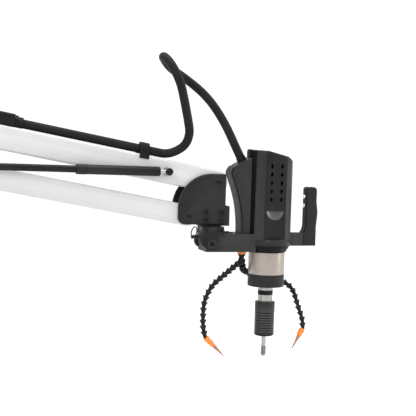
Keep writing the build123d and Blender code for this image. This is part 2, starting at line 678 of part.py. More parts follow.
def make_fairing():
    """The shell behind the cowl that takes the cable in and holds the drive board."""
    outer = slab(fairing_face(0, BACK_THICK + BACK_GAP), (-FAIRING_Y, FAIRING_Y))
    inner = slab(fairing_face(COWL_WALL, BACK_THICK + BACK_GAP + COWL_WALL),
                 (-FAIRING_Y + COWL_WALL, FAIRING_Y - COWL_WALL))
    shell = outer - inner - cowl_body(0)
    return shell - cable_bore() - block((-60, 0), (-60, 60), (BEAM_Z[0], BEAM_Z[1]))


def make_fairing_back():
    """The lighter strip that closes the fairing's curved back."""
    strip = slab(fairing_face(0, 0), (-FAIRING_Y, FAIRING_Y))
    strip -= slab(fairing_face(-2, BACK_THICK), (-FAIRING_Y - 1, FAIRING_Y + 1))
    strip -= block((-100.0, 0), (-60, 60), (0, 260)) & block((-82, 0), (-60, 60), (172, 260))
    return strip - cable_bore()


CABLE_IN = Vector(-69.5, 0, 191.5)
CABLE_IN_WAY = Vector(19, 0, -36).normalized()


def cable_bore():
    plane = Plane(origin=CABLE_IN, z_dir=CABLE_IN_WAY)
    return plane * Cylinder(CABLE_R + 0.1, 30)


def make_cable_grommet():
    """The collar round the cable where it goes into the fairing's sloping top."""
    plane = Plane(origin=CABLE_IN, z_dir=CABLE_IN_WAY)
    ring = plane * (Pos(0, 0, -3) * Cylinder(CABLE_R + 2.0, 12))
    ring -= cable_bore()
    return ring - slab(fairing_face(0, BACK_THICK + BACK_GAP), (-FAIRING_Y, FAIRING_Y)) - cowl_body(0)


def make_control_board():
    board = block((-61, -58.5), (-16.5, 16.5), (40, 160))
    chips = [block((-64, -61), (y - 5, y + 5), (z - 6, z + 6))
             for y, z in ((-8, 60), (7, 84), (-6, 112), (8, 140))]
    for chip in chips:
        board += chip
    return board


# ---------------------------------------------------------------- motor
STATOR_Z, ROTOR_Z = (26.0, 148.0), (34.0, 142.0)
STATOR_R, STATOR_BORE, ROTOR_R, SHAFT_R = 40.0, 30.0, 29.5, 6.0
END_PLATE_Z, TOP_PLATE_Z = (20.0, 26.0), (148.0, 156.0)
BEARING_R = 13.0


def make_stator():
    stator = ring_z(STATOR_R, STATOR_BORE, STATOR_Z)
    for location in PolarLocations(STATOR_R, 12):
        stator -= location * Pos(0, 0, 87) * Box(4, 5, 200)
    return stator


def make_motor_plate(z, radius):
    return behind_panel(ring_z(radius, BEARING_R, z)) - beam_in_cowl()


def make_motor_bearings():
    return [ring_z(BEARING_R, SHAFT_R + RUNNING, z) for z in (END_PLATE_Z, TOP_PLATE_Z)]


def make_rotor():
    return ring_z(ROTOR_R, SHAFT_R, ROTOR_Z)


def make_motor_shaft():
    shaft = rod_z(SHAFT_R, (GEAR_Z[0] - 1, 182))
    return chamfer(shaft.edges().group_by(Axis.Z)[-1], 0.8)


def make_fan():
    fan = ring_z(11, SHAFT_R, (162, 180))
    for location in PolarLocations(21, 9):
        fan += location * Pos(0, 0, 171) * Rot(28, 0, 0) * Box(24, 2, 14)
    return fan


# ---------------------------------------------------------------- planetary gearbox
def gear_face(teeth, hub_r, inward=False, phase=0.0):
    """A gear's flat outline with straight-flanked teeth and open clearances."""
    pitch_r = GEAR_MODULE * teeth / 2
    tip, root = 0.8 * GEAR_MODULE, 1.25 * GEAR_MODULE
    step = 360.0 / teeth
    base_half, tip_half = 0.235 * step, 0.10 * step
    if inward:
        tip, root = -tip, -root
    def corner(radius, angle):
        return (radius * cos(radians(angle)), radius * sin(radians(angle)))
    points = []
    for k in range(teeth):
        middle = phase + k * step
        points += [corner(pitch_r - root, middle - base_half), corner(pitch_r + tip, middle - tip_half),
                   corner(pitch_r + tip, middle + tip_half), corner(pitch_r - root, middle + base_half)]
    face = polygon(points)
    return Circle(hub_r) - face if inward else face - Circle(hub_r)


def gear(teeth, hub_r, z=GEAR_Z, inward=False, phase=0.0):
    return extrude(Plane.XY.offset(z[0]) * gear_face(teeth, hub_r, inward, phase), amount=z[1] - z[0])


PLANET_ANGLES = (0.0, 120.0, 240.0)
PLANET_PIN_R = 4.0


def make_planet(angle):
    """A planet with a gap facing the sun and a gap facing the ring."""
    phase = 180.0 / PLANET_TEETH
    wheel = gear(PLANET_TEETH, PLANET_PIN_R + RUNNING, phase=phase)
    return Pos(CARRIER_R * cos(radians(angle)), CARRIER_R * sin(radians(angle)), 0) * wheel


def make_gearbox_body():
    low, high = GEARBOX_Z
    body = rod_z(GEARBOX_R, GEARBOX_Z)
    body = fillet(body.edges().filter_by(GeomType.CIRCLE), 1.5)
    body += rod_z(36, (high, 18))
    body -= rod_z(38, (low - 1, -31))
    return body - rod_z(28, (-25, 19)) - rod_z(SHAFT_R + 4, (-32, 0))


def make_ring_gear():
    return gear(RING_TEETH, 38.0, inward=True)


def make_carrier():
    """The plate that carries the three planet pins."""
    plate = rod_z(33, (-66, -58))
    for angle in PLANET_ANGLES:
        x, y = CARRIER_R * cos(radians(angle)), CARRIER_R * sin(radians(angle))
        plate += rod_z(PLANET_PIN_R, (-58, -36), x, y)
    return plate


def make_collar():
    collar = rod_z(COLLAR_R, COLLAR_Z)
    collar = fillet(collar.edges().group_by(Axis.Z)[0], 2)
    collar -= rod_z(30, (-97, -75))
    return collar - rod_z(SPINDLE_R + 0.5, (-106, -90))


def make_spindle_bearing():
    return ring_z(30, SPINDLE_R + RUNNING, (-96, -78))


# ---------------------------------------------------------------- spindle and chuck
CHUCK_BODY_R, CHUCK_BORE = 20.0, 12.0


def make_spindle():
    spindle = rod_z(SPINDLE_R, (SPINDLE_END, -66))
    return chamfer(spindle.edges().group_by(Axis.Z)[0], 1)


def make_spindle_band():
    return ring_z(SPINDLE_R + 0.6, SPINDLE_R, BAND_Z)


BALL_Z, BALL_R = -206.0, 3.0


def ball_places():
    return [Rot(0, 0, 90.0 * k) * Pos(15.5, 0, BALL_Z) for k in range(4)]


def make_chuck_body():
    """The chuck's core, with a straight bore for the tap holder and four ball windows."""
    body = rod_z(CHUCK_BODY_R, (-215, SPINDLE_END))
    body -= rod_z(CHUCK_BORE, (-222, -160))
    for place in ball_places():
        body -= place * Rot(0, 90, 0) * Cylinder(BALL_R + 0.1, 12)
    return body


def make_chuck_balls():
    return [place * Sphere(BALL_R) for place in ball_places()]


def make_chuck_sleeve():
    """The sleeve that slides up to free the tap holder, with its grip rings."""
    sleeve = rod_z(SLEEVE_R, SLEEVE_Z)
    sleeve = fillet(sleeve.edges().group_by(Axis.Z)[0], 5)
    sleeve = chamfer(sleeve.edges().group_by(Axis.Z)[-1], 1.5)
    for z in RING_GROOVES:
        sleeve -= ring_z(SLEEVE_R + 1, SLEEVE_R - 1.2, (z - 1.2, z + 1.2))
    sleeve -= rod_z(SLEEVE_BORE, (-221.5, SLEEVE_Z[1] + 1))
    return sleeve - rod_z(14, (SLEEVE_Z[0] - 1, -220))


RING_GROOVES = [-169.0 - 6.0 * k for k in range(9)]


def make_tap_holder():
    holder = rod_z(CHUCK_BORE - RUNNING, (-226, -162))
    return holder - rod_z(TAP_SHANK_R, (-227, TAP_Z[2]))


def make_tap():
    """A hand tap: plain shank, threaded nose with four flutes and a tapered lead."""
    low, thread_top, top = TAP_Z
    tap = rod_z(TAP_SHANK_R, (thread_top, top)) + rod_z(TAP_R, (low, thread_top))
    tap = chamfer(tap.edges().filter_by(GeomType.CIRCLE).group_by(Axis.Z)[0], 5, 1.6)
    for location in PolarLocations(TAP_R + 0.6, 4):
        tap -= location * Pos(0, 0, low + 10) * Cylinder(2.6, 26)
    return tap


# ---------------------------------------------------------------- handle
def make_handle_arm():
    arm = handle_arm_box((30.0, 86.0))
    arm = fillet(arm.edges().filter_by(Axis.X), 3)
    return arm - rod_z(COWL_R - COWL_WALL, (-40, 40))


def button_recess(z):
    return rod_x(BUTTON_R + 0.4, (GRIP_FACE_X - 6, GRIP_FACE_X + 9), 0, z)


def make_grip():
    """The upright hand grip: straight finger side, palm swell behind."""
    edges = Curve() + [
        Line((86, 23), (86, -8)),
        Line((86, -8), (120.5, -8)),
        Line((120.5, -8), (120.5, 30)),
        Spline((120.5, 30), (121.3, 50), (123, 74), (120, 98), (120, 118), (119.5, 129)),
        Line((119.5, 129), (115, 133.5)),
        Line((115, 133.5), (97, 133.5)),
        Line((97, 133.5), (GRIP_FACE_X, 129)),
        Line((GRIP_FACE_X, 129), (GRIP_FACE_X, 45)),
        Spline((GRIP_FACE_X, 45), (91.5, 34), (86, 23))]
    grip = slab(make_face(edges), (-14, 14))
    grip = fillet(grip.faces().filter_by(Axis.Y).edges(), 4)
    for z in GRIP_BUTTONS:
        grip -= button_recess(z)
        grip -= rod_x(3.0, (GRIP_FACE_X + 8, GRIP_FACE_X + 15), 0, z)
    return grip


def make_button(z):
    """A domed push button on the finger side."""
    button = rod_x(BUTTON_R, (GRIP_FACE_X - 4, GRIP_FACE_X + 4), 0, z)
    return fillet(button.edges().group_by(Axis.X)[0], 2.4)


def make_button_switches():
    return [rod_x(3.0, (GRIP_FACE_X + 8, GRIP_FACE_X + 15), 0, z) for z in GRIP_BUTTONS]


# ---------------------------------------------------------------- coolant
COOLANT_X = -63.0
LEFT_HOSE = ((-72, -3, -52), (-90, -9, -63), (-108, -14, -76), (-126, -18, -89), (-141, -20, -103),
             (-151, -20, -120), (-158, -20, -140), (-160, -20, -160), (-160, -20, -182),
             (-158, -20, -204), (-153, -20, -221))
LEFT_NOZZLE = ((-151, -20, -224.5), (-121, -18, -254), (-105, -16, -269))
RIGHT_HOSE = ((-57, 6, -56), (-51, 22, -67), (-34, 43, -77), (-10, 56, -86), (18, 60, -93),
              (46, 58, -99), (69, 50, -106), (84, 38, -120), (92, 31, -142), (99, 26, -166),
              (106, 21, -190), (107, 18, -214))
RIGHT_NOZZLE = ((105.5, 17.5, -217.5), (90, 12, -241), (77, 8, -262))


def make_coolant_fitting():
    nut = Pos(COOLANT_X, 0, BEAM_Z[0] - 8) * extrude(RegularPolygon(10.5, 6), amount=8)
    return nut - rod_z(3.5, (-40, 0), COOLANT_X)


def make_coolant_splitter():
    """A Y piece under the fitting with a short branch to each hose."""
    top = BEAM_Z[0] - 8
    body = rod_z(9.5, (top - 12, top), COOLANT_X) + Pos(COOLANT_X, 0, top - 14) * Sphere(9.5)
    for end in (Vector(*LEFT_HOSE[0]), Vector(*RIGHT_HOSE[0])):
        start = Vector(COOLANT_X, 0, top - 14)
        way = (end - start)
        body += Plane(origin=start, z_dir=way) * Pos(0, 0, (way.length - 1.5) / 2) * Cylinder(
            6.5, way.length - 1.5)
    return body


def hose_beads(route):
    """Ball-and-socket hose elements, one every pitch along a smooth line."""
    line = Spline(*route)
    count = int(line.length / HOSE_PITCH)
    profile = Plane.XZ * make_face(Curve() + [
        Line((0, -4.8), (5.0, -4.8)), ThreePointArc((5.0, -4.8), (HOSE_R, 0.3), (6.2, 4.4)),
        Line((6.2, 4.4), (4.2, 4.8)), Line((4.2, 4.8), (4.2, 6.6)), Line((4.2, 6.6), (0, 6.6)),
        Line((0, 6.6), (0, -4.8))])
    bead = revolve(profile, Axis.Z)
    beads = []
    for k in range(count):
        at = (k + 0.5) / count
        beads.append(Plane(origin=line @ at, z_dir=line % at).location * bead)
    return beads


def cone_between(start, end, r_start, r_end):
    """A cone from one point to another."""
    way = Vector(*end) - Vector(*start)
    place = Plane(origin=Vector(*start), z_dir=way).location
    return place * Pos(0, 0, way.length / 2) * Cone(r_start, r_end, way.length)


def make_nozzle(route):
    return cone_between(route[0], route[1], 6.5, 4.2)


def make_nozzle_tip(route):
    return cone_between(route[1], route[2], 2.9, 2.4)


# ---------------------------------------------------------------- cable
# The cable's line after the front clip, in the row's own frame: up, through a tall narrow loop, and
# down into the fairing. Its first two points and the stretch along the arm are in line with the clip.
CABLE_LOOP = ((193.6, 0.0, 654.0), (541.0, 0.0, 592.8), (565.0, -4.0, 600.0), (586.0, -11.0, 616.0),
              (592.0, -21.0, 643.0), (584.0, -30.0, 672.0), (576.0, -37.0, 699.0),
              (568.0, -43.0, 726.0), (560.0, -47.0, 752.0), (548.0, -46.0, 778.0),
              (535.0, -34.0, 803.0), (527.0, -6.0, 817.0), (536.0, 24.0, 813.0),
              (558.0, 44.0, 793.0), (587.0, 51.0, 778.0), (614.0, 50.0, 760.0),
              (640.0, 42.0, 738.0), (662.0, 33.0, 712.0), (681.0, 24.0, 682.0),
              (696.0, 13.0, 651.0), (708.8, 0.0, 617.2), (727.8, 0.0, 581.2))
CABLE_CUTS = (0.92, 5, 11)   # where one piece of cable ends and the next begins: run numbers
ROUND_SHARE = 0.45


def corner_radii(route):
    """The largest tangent arc at each corner that leaves both of its runs room."""
    radii = []
    for before, here, after in zip(route, route[1:], route[2:]):
        first, second = here - before, after - here
        shorter = min(first.length, second.length)
        radii.append(ROUND_SHARE * shorter / tan(vector_angle(first, second) / 2))
    return radii


def cable_pieces():
    """The cable's tube in pieces that meet face to face in the middle of a run."""
    route = [Vector(*point) for point in CABLE_LOOP]
    radii = corner_radii(route)
    print("cable radii", [round(radius) for radius in radii])
    cuts = [(0, route[0])]
    for cut in CABLE_CUTS:
        run = int(cut)
        share = cut - run if cut - run else 0.5
        cuts.append((run, route[run] + (route[run + 1] - route[run]) * share))
    cuts.append((len(route) - 2, route[-1]))
    pieces = []
    for (run_a, start), (run_b, end) in zip(cuts, cuts[1:]):
        inner = route[run_a + 1:run_b + 1]
        points = [start] + inner + [end]
        path = FilletPolyline(*points, radius=radii[run_a:run_b]) if inner else Line(start, end)
        section = Plane(origin=start, z_dir=points[1] - start) * Circle(CABLE_R)
        tube = sweep(section, path=path)
        print("cable piece", round(path.length), "volume ratio",
              round(tube.volume / (pi * CABLE_R ** 2 * path.length), 3))
        pieces.append(tube)
    return pieces


# ---------------------------------------------------------------- the whole machine
def base_nodes():
    return {"base_flange": make_base_flange(), "column_tube": make_column_tube(),
            "column_bearings": make_column_bearings()}


def turret_nodes():
    pin_screws = make_pin_screws((UPPER_REAR,), (LOWER_REAR,))
    return {"turret_shaft": make_turret_shaft(), "turret_block": make_turret_block(),
            "turret_plates": [make_turret_plate(-1), make_turret_plate(1)],
            "rear_pins": [make_pivot_pin(UPPER_REAR), make_lower_rear_pin()],
            "turret_screws": make_plate_screws(TURRET_SCREWS) + pin_screws}


def arm_nodes():
    x = ARM_LENGTH - SPRING_PIN_BACK
    pin_hole = rod_y(SPRING_PIN_R, (-ARM_WIDTH, 0), x, 0)
    upper_ends = make_end_blocks(UPPER_ARM_HEIGHT) + make_bushes() + [make_spring_front_pin()]
    upper = {"upper_arm_tube": make_arm(UPPER_ARM_HEIGHT, (pin_hole,)),
             "upper_arm_fittings": upper_ends, "cable_clip": make_cable_clip(),
             "cable_entry": [make_cable_entry(), make_entry_gland()]}
    lower = {"lower_arm_tube": make_arm(LOWER_ARM_HEIGHT),
             "lower_arm_fittings": make_end_blocks(LOWER_ARM_HEIGHT) + make_bushes(OPEN_PIVOT)}
    return placed(upper, on_upper_arm) | placed(lower, on_lower_arm)


def spring_nodes():
    front_eye = eye(0, (8, TUBE_X[0]))
    rear_eye = eye(SPRING_LENGTH, (SPRING_LENGTH - 14, SPRING_LENGTH - 8))
    pieces = {"spring_tube": make_spring_tube(),
              "spring_fittings": [make_spring_collar(), make_spring_sleeve(), front_eye],
              "spring_rod": [make_spring_rod(), rear_eye]}
    return placed(pieces, on_spring)


def knuckle_nodes():
    pins = [make_pivot_pin(UPPER_FRONT), make_pivot_pin(LOWER_FRONT)]
    pin_screws = make_pin_screws((UPPER_FRONT, LOWER_FRONT))
    return {"knuckle_plates": [make_knuckle_plate(-1), make_knuckle_plate(1)],
            "hub_block": make_hub_block(), "front_pins": pins,
            "knuckle_screws": make_plate_screws(KNUCKLE_SCREWS) + pin_screws,
            "swivel_bearings": make_swivel_bearings()}


def yoke_nodes():
    return {"swivel_shaft": [make_swivel_shaft(), make_swivel_nut(), make_thrust_washer()],
            "yoke": make_yoke(), "cheek_plates": [make_cheek(-1), make_cheek(1)],
            "yoke_fasteners": make_cheek_screws() + [make_tilt_pin(), make_plunger_sleeve()],
            "index_plunger": [make_plunger_pin(), pull_ring_wire(1.3)]}


def head_nodes():
    plates = [make_motor_plate(END_PLATE_Z, 50.0), make_motor_plate(TOP_PLATE_Z, STATOR_R)]
    return {"beam": make_beam(), "motor_cowl": make_cowl(),
            "cowl_skirt": [make_skirt()] + make_skirt_screws(), "fairing": make_fairing(),
            "fairing_back": [make_fairing_back(), make_cable_grommet()],
            "control_board": make_control_board(),
            "motor_stator": [make_stator()] + plates + make_motor_bearings(),
            "motor_rotor": [make_rotor(), make_motor_shaft(), make_fan()]}


def gearbox_nodes():
    nodes = {"gearbox_body": make_gearbox_body(), "ring_gear": make_ring_gear(),
             "sun_gear": gear(SUN_TEETH, SHAFT_R), "planet_carrier": make_carrier(),
             "gearbox_collar": [make_collar(), make_spindle_bearing()],
             "spindle": [make_spindle(), make_spindle_band()]}
    for number, angle in enumerate(PLANET_ANGLES, start=1):
        nodes[f"planet_gear_{number}"] = make_planet(angle)
    return nodes


def chuck_nodes():
    return {"chuck_body": [make_chuck_body(), make_tap_holder()] + make_chuck_balls(),
            "chuck_sleeve": make_chuck_sleeve(), "tap": make_tap()}


def handle_nodes():
    return {"handle_arm": make_handle_arm(), "handle_grip": [make_grip()] + make_button_switches(),
            "button_upper": make_button(GRIP_BUTTONS[0]), "button_lower": make_button(GRIP_BUTTONS[1])}


def coolant_nodes():
    return {"coolant_splitter": [make_coolant_fitting(), make_coolant_splitter()],
            "hose_left": hose_beads(LEFT_HOSE), "hose_right": hose_beads(RIGHT_HOSE),
            "nozzle_left": [make_nozzle(LEFT_NOZZLE), make_nozzle_tip(LEFT_NOZZLE)],
            "nozzle_right": [make_nozzle(RIGHT_NOZZLE), make_nozzle_tip(RIGHT_NOZZLE)]}


def cable_nodes():
    names = ("cable_on_arm", "cable_bend", "cable_rise", "cable_fall")
    return dict(zip(names, cable_pieces()))


def placed(nodes, place):
    """Every node's solids, moved by a placing function."""
    return {name: [place(solid) for solid in solids] if isinstance(solids, list) else place(solids)
            for name, solids in nodes.items()}


def in_head(piece):
    return HEAD * piece


def all_nodes():
    nodes = base_nodes() | turret_nodes() | arm_nodes() | spring_nodes()
    for group in (knuckle_nodes, yoke_nodes, head_nodes, gearbox_nodes, chuck_nodes, handle_nodes,
                  coolant_nodes):
        nodes |= placed(group(), in_head)
    return nodes | cable_nodes()


def write_nodes():
    os.makedirs("parts", exist_ok=True)
    nodes = all_nodes()
    for name, shape in nodes.items():
        solids = shape if isinstance(shape, list) else [shape]
        bodies = [solid for piece in solids for solid in piece.solids()]
        export_step(bodies[0] if len(bodies) == 1 else Compound(children=bodies), f"parts/{name}.step")
    print(len(nodes), "nodes")


write_nodes()
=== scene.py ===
"""Looks of an electric tapping arm machine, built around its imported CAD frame. Metres, +Z up."""
import json
import math

import bmesh
import bpy
from mathutils import Matrix, Vector


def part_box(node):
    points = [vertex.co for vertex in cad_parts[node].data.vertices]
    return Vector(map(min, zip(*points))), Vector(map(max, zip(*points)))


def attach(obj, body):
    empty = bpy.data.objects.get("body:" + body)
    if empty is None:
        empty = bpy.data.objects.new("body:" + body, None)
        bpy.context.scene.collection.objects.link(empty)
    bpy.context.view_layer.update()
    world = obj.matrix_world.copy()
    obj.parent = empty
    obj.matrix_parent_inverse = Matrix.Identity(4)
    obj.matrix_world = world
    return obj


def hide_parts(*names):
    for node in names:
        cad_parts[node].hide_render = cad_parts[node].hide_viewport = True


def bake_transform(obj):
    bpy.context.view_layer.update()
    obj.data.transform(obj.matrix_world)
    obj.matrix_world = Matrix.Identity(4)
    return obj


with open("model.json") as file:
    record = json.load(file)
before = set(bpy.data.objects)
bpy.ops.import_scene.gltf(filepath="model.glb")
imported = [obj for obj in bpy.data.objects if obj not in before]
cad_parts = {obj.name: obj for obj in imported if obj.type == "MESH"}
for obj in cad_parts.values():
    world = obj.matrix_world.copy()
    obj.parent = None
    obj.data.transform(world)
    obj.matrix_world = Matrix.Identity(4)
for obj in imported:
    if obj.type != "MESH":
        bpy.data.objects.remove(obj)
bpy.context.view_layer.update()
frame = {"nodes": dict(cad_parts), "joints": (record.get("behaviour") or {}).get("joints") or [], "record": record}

MM = 0.001

# ---------------------------------------------------------------- the frame's own places
JOINTS = {joint["name"]: joint for joint in frame["joints"]}
BODY_OF = {node: body for body, nodes in frame["record"]["behaviour"]["bodies"].items() for node in nodes}

HEAD_X = JOINTS["spindle_spin"]["pos_m"][0]
HEAD_Z = JOINTS["head_tilt"]["pos_m"][2]


def in_head(x, y, z):
    """A point given in millimetres from the spindle axis and the beam's middle."""
    return Vector((HEAD_X + x * MM, y * MM, HEAD_Z + z * MM))


# ---------------------------------------------------------------- camera
CAMERA_PLACE = in_head(-833.55, -2238.18, 224.83)
CAMERA_TURN = math.radians(-16.979)
CAMERA_PITCH = math.radians(3.549)
CAMERA_ROLL = math.radians(1.788)
SENSOR = 36.0
LENS = 86.54
FARTHEST = 100.0


def add_camera():
    back = Vector((math.sin(CAMERA_TURN) * math.cos(CAMERA_PITCH),
                   -math.cos(CAMERA_TURN) * math.cos(CAMERA_PITCH), math.sin(CAMERA_PITCH)))
    right = Vector((math.cos(CAMERA_TURN), math.sin(CAMERA_TURN), 0.0))
    up = back.cross(right)
    cos_roll, sin_roll = math.cos(CAMERA_ROLL), math.sin(CAMERA_ROLL)
    axes = Matrix((right * cos_roll + up * sin_roll, up * cos_roll - right * sin_roll, back)).transposed()
    data = bpy.data.cameras.new("camera")
    data.sensor_width = SENSOR
    data.lens = LENS
    data.clip_end = FARTHEST
    camera = bpy.data.objects.new("camera", data)
    camera.matrix_world = Matrix.Translation(CAMERA_PLACE) @ axes.to_4x4()
    bpy.context.scene.collection.objects.link(camera)
    bpy.context.scene.camera = camera


add_camera()


# ---------------------------------------------------------------- materials
NOISE_LOW, NOISE_HIGH = 0.35, 0.65  # most of a noise texture's values lie between these
COAT_ROUGHNESS = 0.12
DARK = 0.04                         # colours below this get the lower specular level
DARK_SPECULAR = 0.1
BLACK, FULL_WHITE, HALF_WEAR_AND_HIGHLIGHT = (0.0,) * 3, (1.0,) * 3, (0.55,) * 3


class Shader:
    """A new material, with short calls for the nodes used here."""

    def __init__(self, name):
        self.material = bpy.data.materials.new(name)
        self.material.use_nodes = True
        self.tree = self.material.node_tree
        self.surface = self.tree.nodes["Principled BSDF"]
        self.place = self.add("ShaderNodeTexCoord").outputs["Object"]

    def add(self, kind, **settings):
        node = self.tree.nodes.new(kind)
        for key, value in settings.items():
            setattr(node, key, value)
        return node

    def link(self, source, target):
        self.tree.links.new(source, target)

    def stretched(self, stretch):
        mapping = self.add("ShaderNodeMapping")
        mapping.inputs["Scale"].default_value = stretch
        self.link(self.place, mapping.inputs["Vector"])
        return mapping.outputs["Vector"]

    def noise(self, scale, detail=4.0, stretch=None):
        noise = self.add("ShaderNodeTexNoise")
        noise.inputs["Scale"].default_value = scale
        noise.inputs["Detail"].default_value = detail
        self.link(self.stretched(stretch) if stretch else self.place, noise.inputs["Vector"])
        return noise.outputs["Fac"]

    def cells(self, scale):
        cells = self.add("ShaderNodeTexVoronoi")
        cells.inputs["Scale"].default_value = scale
        self.link(self.place, cells.inputs["Vector"])
        return cells.outputs["Distance"]

    def ramp(self, factor, low, high, colour_low, colour_high):
        ramp = self.add("ShaderNodeValToRGB")
        first, last = ramp.color_ramp.elements
        first.position, last.position = low, high
        first.color = (*colour_low, 1.0)
        last.color = (*colour_high, 1.0)
        self.link(factor, ramp.inputs["Fac"])
        return ramp.outputs["Color"]

    def mixed(self, factor, colour_a, colour_b):
        mix = self.add("ShaderNodeMix", data_type="RGBA")
        self.link(factor, mix.inputs[0])
        for socket, colour in ((mix.inputs[6], colour_a), (mix.inputs[7], colour_b)):
            if isinstance(colour, tuple):
                socket.default_value = (*colour, 1.0)
            else:
                self.link(colour, socket)
        return mix.outputs[2]

    def bump(self, height, strength, distance, below=None):
        bump = self.add("ShaderNodeBump")
        bump.inputs["Strength"].default_value = strength
        bump.inputs["Distance"].default_value = distance
        self.link(height, bump.inputs["Height"])
        if below:
            self.link(below, bump.inputs["Normal"])
        return bump.outputs["Normal"]

    def set(self, socket, value):
        self.surface.inputs[socket].default_value = value

    def vary(self, socket, factor, low, high):
        """A socket that wanders between two values with a texture."""
        spread = self.add("ShaderNodeMapRange")
        spread.inputs["From Min"].default_value = NOISE_LOW
        spread.inputs["From Max"].default_value = NOISE_HIGH
        spread.inputs["To Min"].default_value = low
        spread.inputs["To Max"].default_value = high
        self.link(factor, spread.inputs["Value"])
        self.link(spread.outputs["Result"], self.surface.inputs[socket])


def scaled(colour, factor):
    return tuple(min(1.0, channel * factor) for channel in colour)


def surface(name, colour, roughness, metallic=0.0, spread=0.12, patches=35.0, grain=1600.0,
            grain_depth=0.03, speckle=0.0, waves=90.0, wave_depth=0.0, lines=None, line_depth=0.15,
            edge_wear_and_highlight=None, coat=0.0):
    """A finish with patches of tone, fine grain, uneven gloss, and paler edges: edge wear, and on the chuck sleeve
    a painted highlight.

    lines is a stretch that draws a fine grain out into turning or grinding lines. Depths are in
    millimetres, and scales are in cycles to the metre.
    """
    shader = Shader(name)
    tone = shader.noise(patches, 5.0)
    base = shader.ramp(tone, 0.3, 0.7, scaled(colour, 1 - spread), scaled(colour, 1 + spread))
    fine = shader.noise(grain, 3.0)
    if speckle:
        dots = shader.ramp(fine, 0.48, 0.62, BLACK, FULL_WHITE)
        base = shader.mixed(dots, base, scaled(colour, 1 + speckle))
    # Paler edges found by pointiness: edge wear, and on the chuck sleeve a painted highlight.
    if edge_wear_and_highlight:
        pointed = shader.add("ShaderNodeNewGeometry").outputs["Pointiness"]
        edges = shader.ramp(pointed, 0.52, 0.58, BLACK, HALF_WEAR_AND_HIGHLIGHT)
        base = shader.mixed(edges, base, edge_wear_and_highlight)
    shader.link(base, shader.surface.inputs["Base Color"])
    shader.vary("Roughness", shader.noise(patches * 2.3, 6.0), roughness - 0.05, roughness + 0.07)
    shader.set("Metallic", metallic)
    if max(colour) < DARK:
        shader.set("Specular IOR Level", DARK_SPECULAR)
    if coat:
        shader.set("Coat Weight", coat)
        shader.set("Coat Roughness", COAT_ROUGHNESS)
    normal = shader.bump(fine, 0.5, grain_depth * MM)
    if wave_depth:
        normal = shader.bump(shader.noise(waves, 2.0), 0.4, wave_depth * MM, normal)
    if lines:
        normal = shader.bump(shader.noise(1.0, 3.0, lines), line_depth, 0.05 * MM, normal)
    shader.link(normal, shader.surface.inputs["Normal"])
    return shader.material


def knurled(name, colour, roughness):
    """Dark moulded plastic with a pebbled surface, with painted shade in the hollows between pebbles and paler
    pebble tops.
    """
    shader = Shader(name)
    pebbles = shader.cells(900.0)
    # Painted shade: darker in the hollows between pebbles, paler on their raised tops.
    base = shader.ramp(pebbles, 0.15, 0.75, scaled(colour, 1.35), scaled(colour, 0.7))
    shader.link(base, shader.surface.inputs["Base Color"])
    shader.vary("Roughness", shader.noise(260.0), roughness - 0.06, roughness + 0.08)
    shader.set("Specular IOR Level", DARK_SPECULAR)
    normal = shader.bump(pebbles, 0.35, -0.12 * MM)
    normal = shader.bump(shader.noise(60.0, 3.0), 0.2, 0.2 * MM, normal)
    shader.link(normal, shader.surface.inputs["Normal"])
    return shader.material


AROUND_Z = (30.0, 30.0, 4200.0)     # turning lines round an upright bar
ALONG_ARM = (25.0, 2600.0, 2600.0)  # grinding lines along a bar that lies near X

WHITE = surface("white_powder_coat", (0.46, 0.463, 0.468), 0.34, spread=0.02, grain=900.0,
                grain_depth=0.02, waves=260.0, wave_depth=0.05, edge_wear_and_highlight=(0.6, 0.6, 0.6), coat=0.1)
CHARCOAL = surface("charcoal_coat", (0.012, 0.012, 0.0128), 0.42, spread=0.14, grain=2600.0,
                   grain_depth=0.05, speckle=0.45, wave_depth=0.03, edge_wear_and_highlight=(0.045, 0.045, 0.046))
BEAM_BLACK = surface("beam_anodised", (0.017, 0.017, 0.0178), 0.42, metallic=0.1, spread=0.12,
                     grain=1800.0, grain_depth=0.03, speckle=0.3, lines=ALONG_ARM,
                     edge_wear_and_highlight=(0.09, 0.09, 0.09))
COWL_BLACK = surface("cowl_satin", (0.014, 0.014, 0.0143), 0.36, spread=0.1, grain=2200.0, grain_depth=0.02,
                     waves=70.0, wave_depth=0.04, edge_wear_and_highlight=(0.05, 0.05, 0.051))
PANEL_BLACK = surface("cowl_panel", (0.0105, 0.0105, 0.0108), 0.5, spread=0.16, grain=1500.0,
                      grain_depth=0.08, speckle=0.7)
# Painted shade: a near-black for faces that lie in shade, namely the cowl's side towards the arm, the skirt's
# underside and the grip's back.
PAINTED_SHADE_BLACK = surface("cowl_shaded_side", (0.003, 0.003, 0.003), 0.5, spread=0.15, grain=1500.0,
                     grain_depth=0.02)
# Painted light: a paler grey where the cowl's scoop floor catches the light.
SCOOP_PAINTED_LIGHT = surface("cowl_scoop_painted_light", (0.05, 0.05, 0.0515), 0.34, spread=0.08, grain=1500.0,
                     grain_depth=0.03)
FAIRING_GREY = surface("fairing_back_satin", (0.014, 0.014, 0.0145), 0.42, spread=0.1, grain=2000.0,
                       grain_depth=0.02, edge_wear_and_highlight=(0.07, 0.07, 0.072))
BLACK_OXIDE = surface("black_oxide_steel", (0.014, 0.014, 0.0145), 0.36, metallic=0.4, spread=0.25,
                      patches=160.0, grain=2600.0, grain_depth=0.02, edge_wear_and_highlight=(0.07, 0.068, 0.066))
TURNED_STEEL = surface("turned_steel", (0.31, 0.305, 0.295), 0.24, metallic=1.0, spread=0.07,
                       patches=60.0, grain_depth=0.008, lines=AROUND_Z, line_depth=0.25)
PIN_STEEL = surface("dark_pin_steel", (0.05, 0.05, 0.051), 0.35, metallic=0.6, spread=0.15, patches=160.0,
                    grain_depth=0.01)
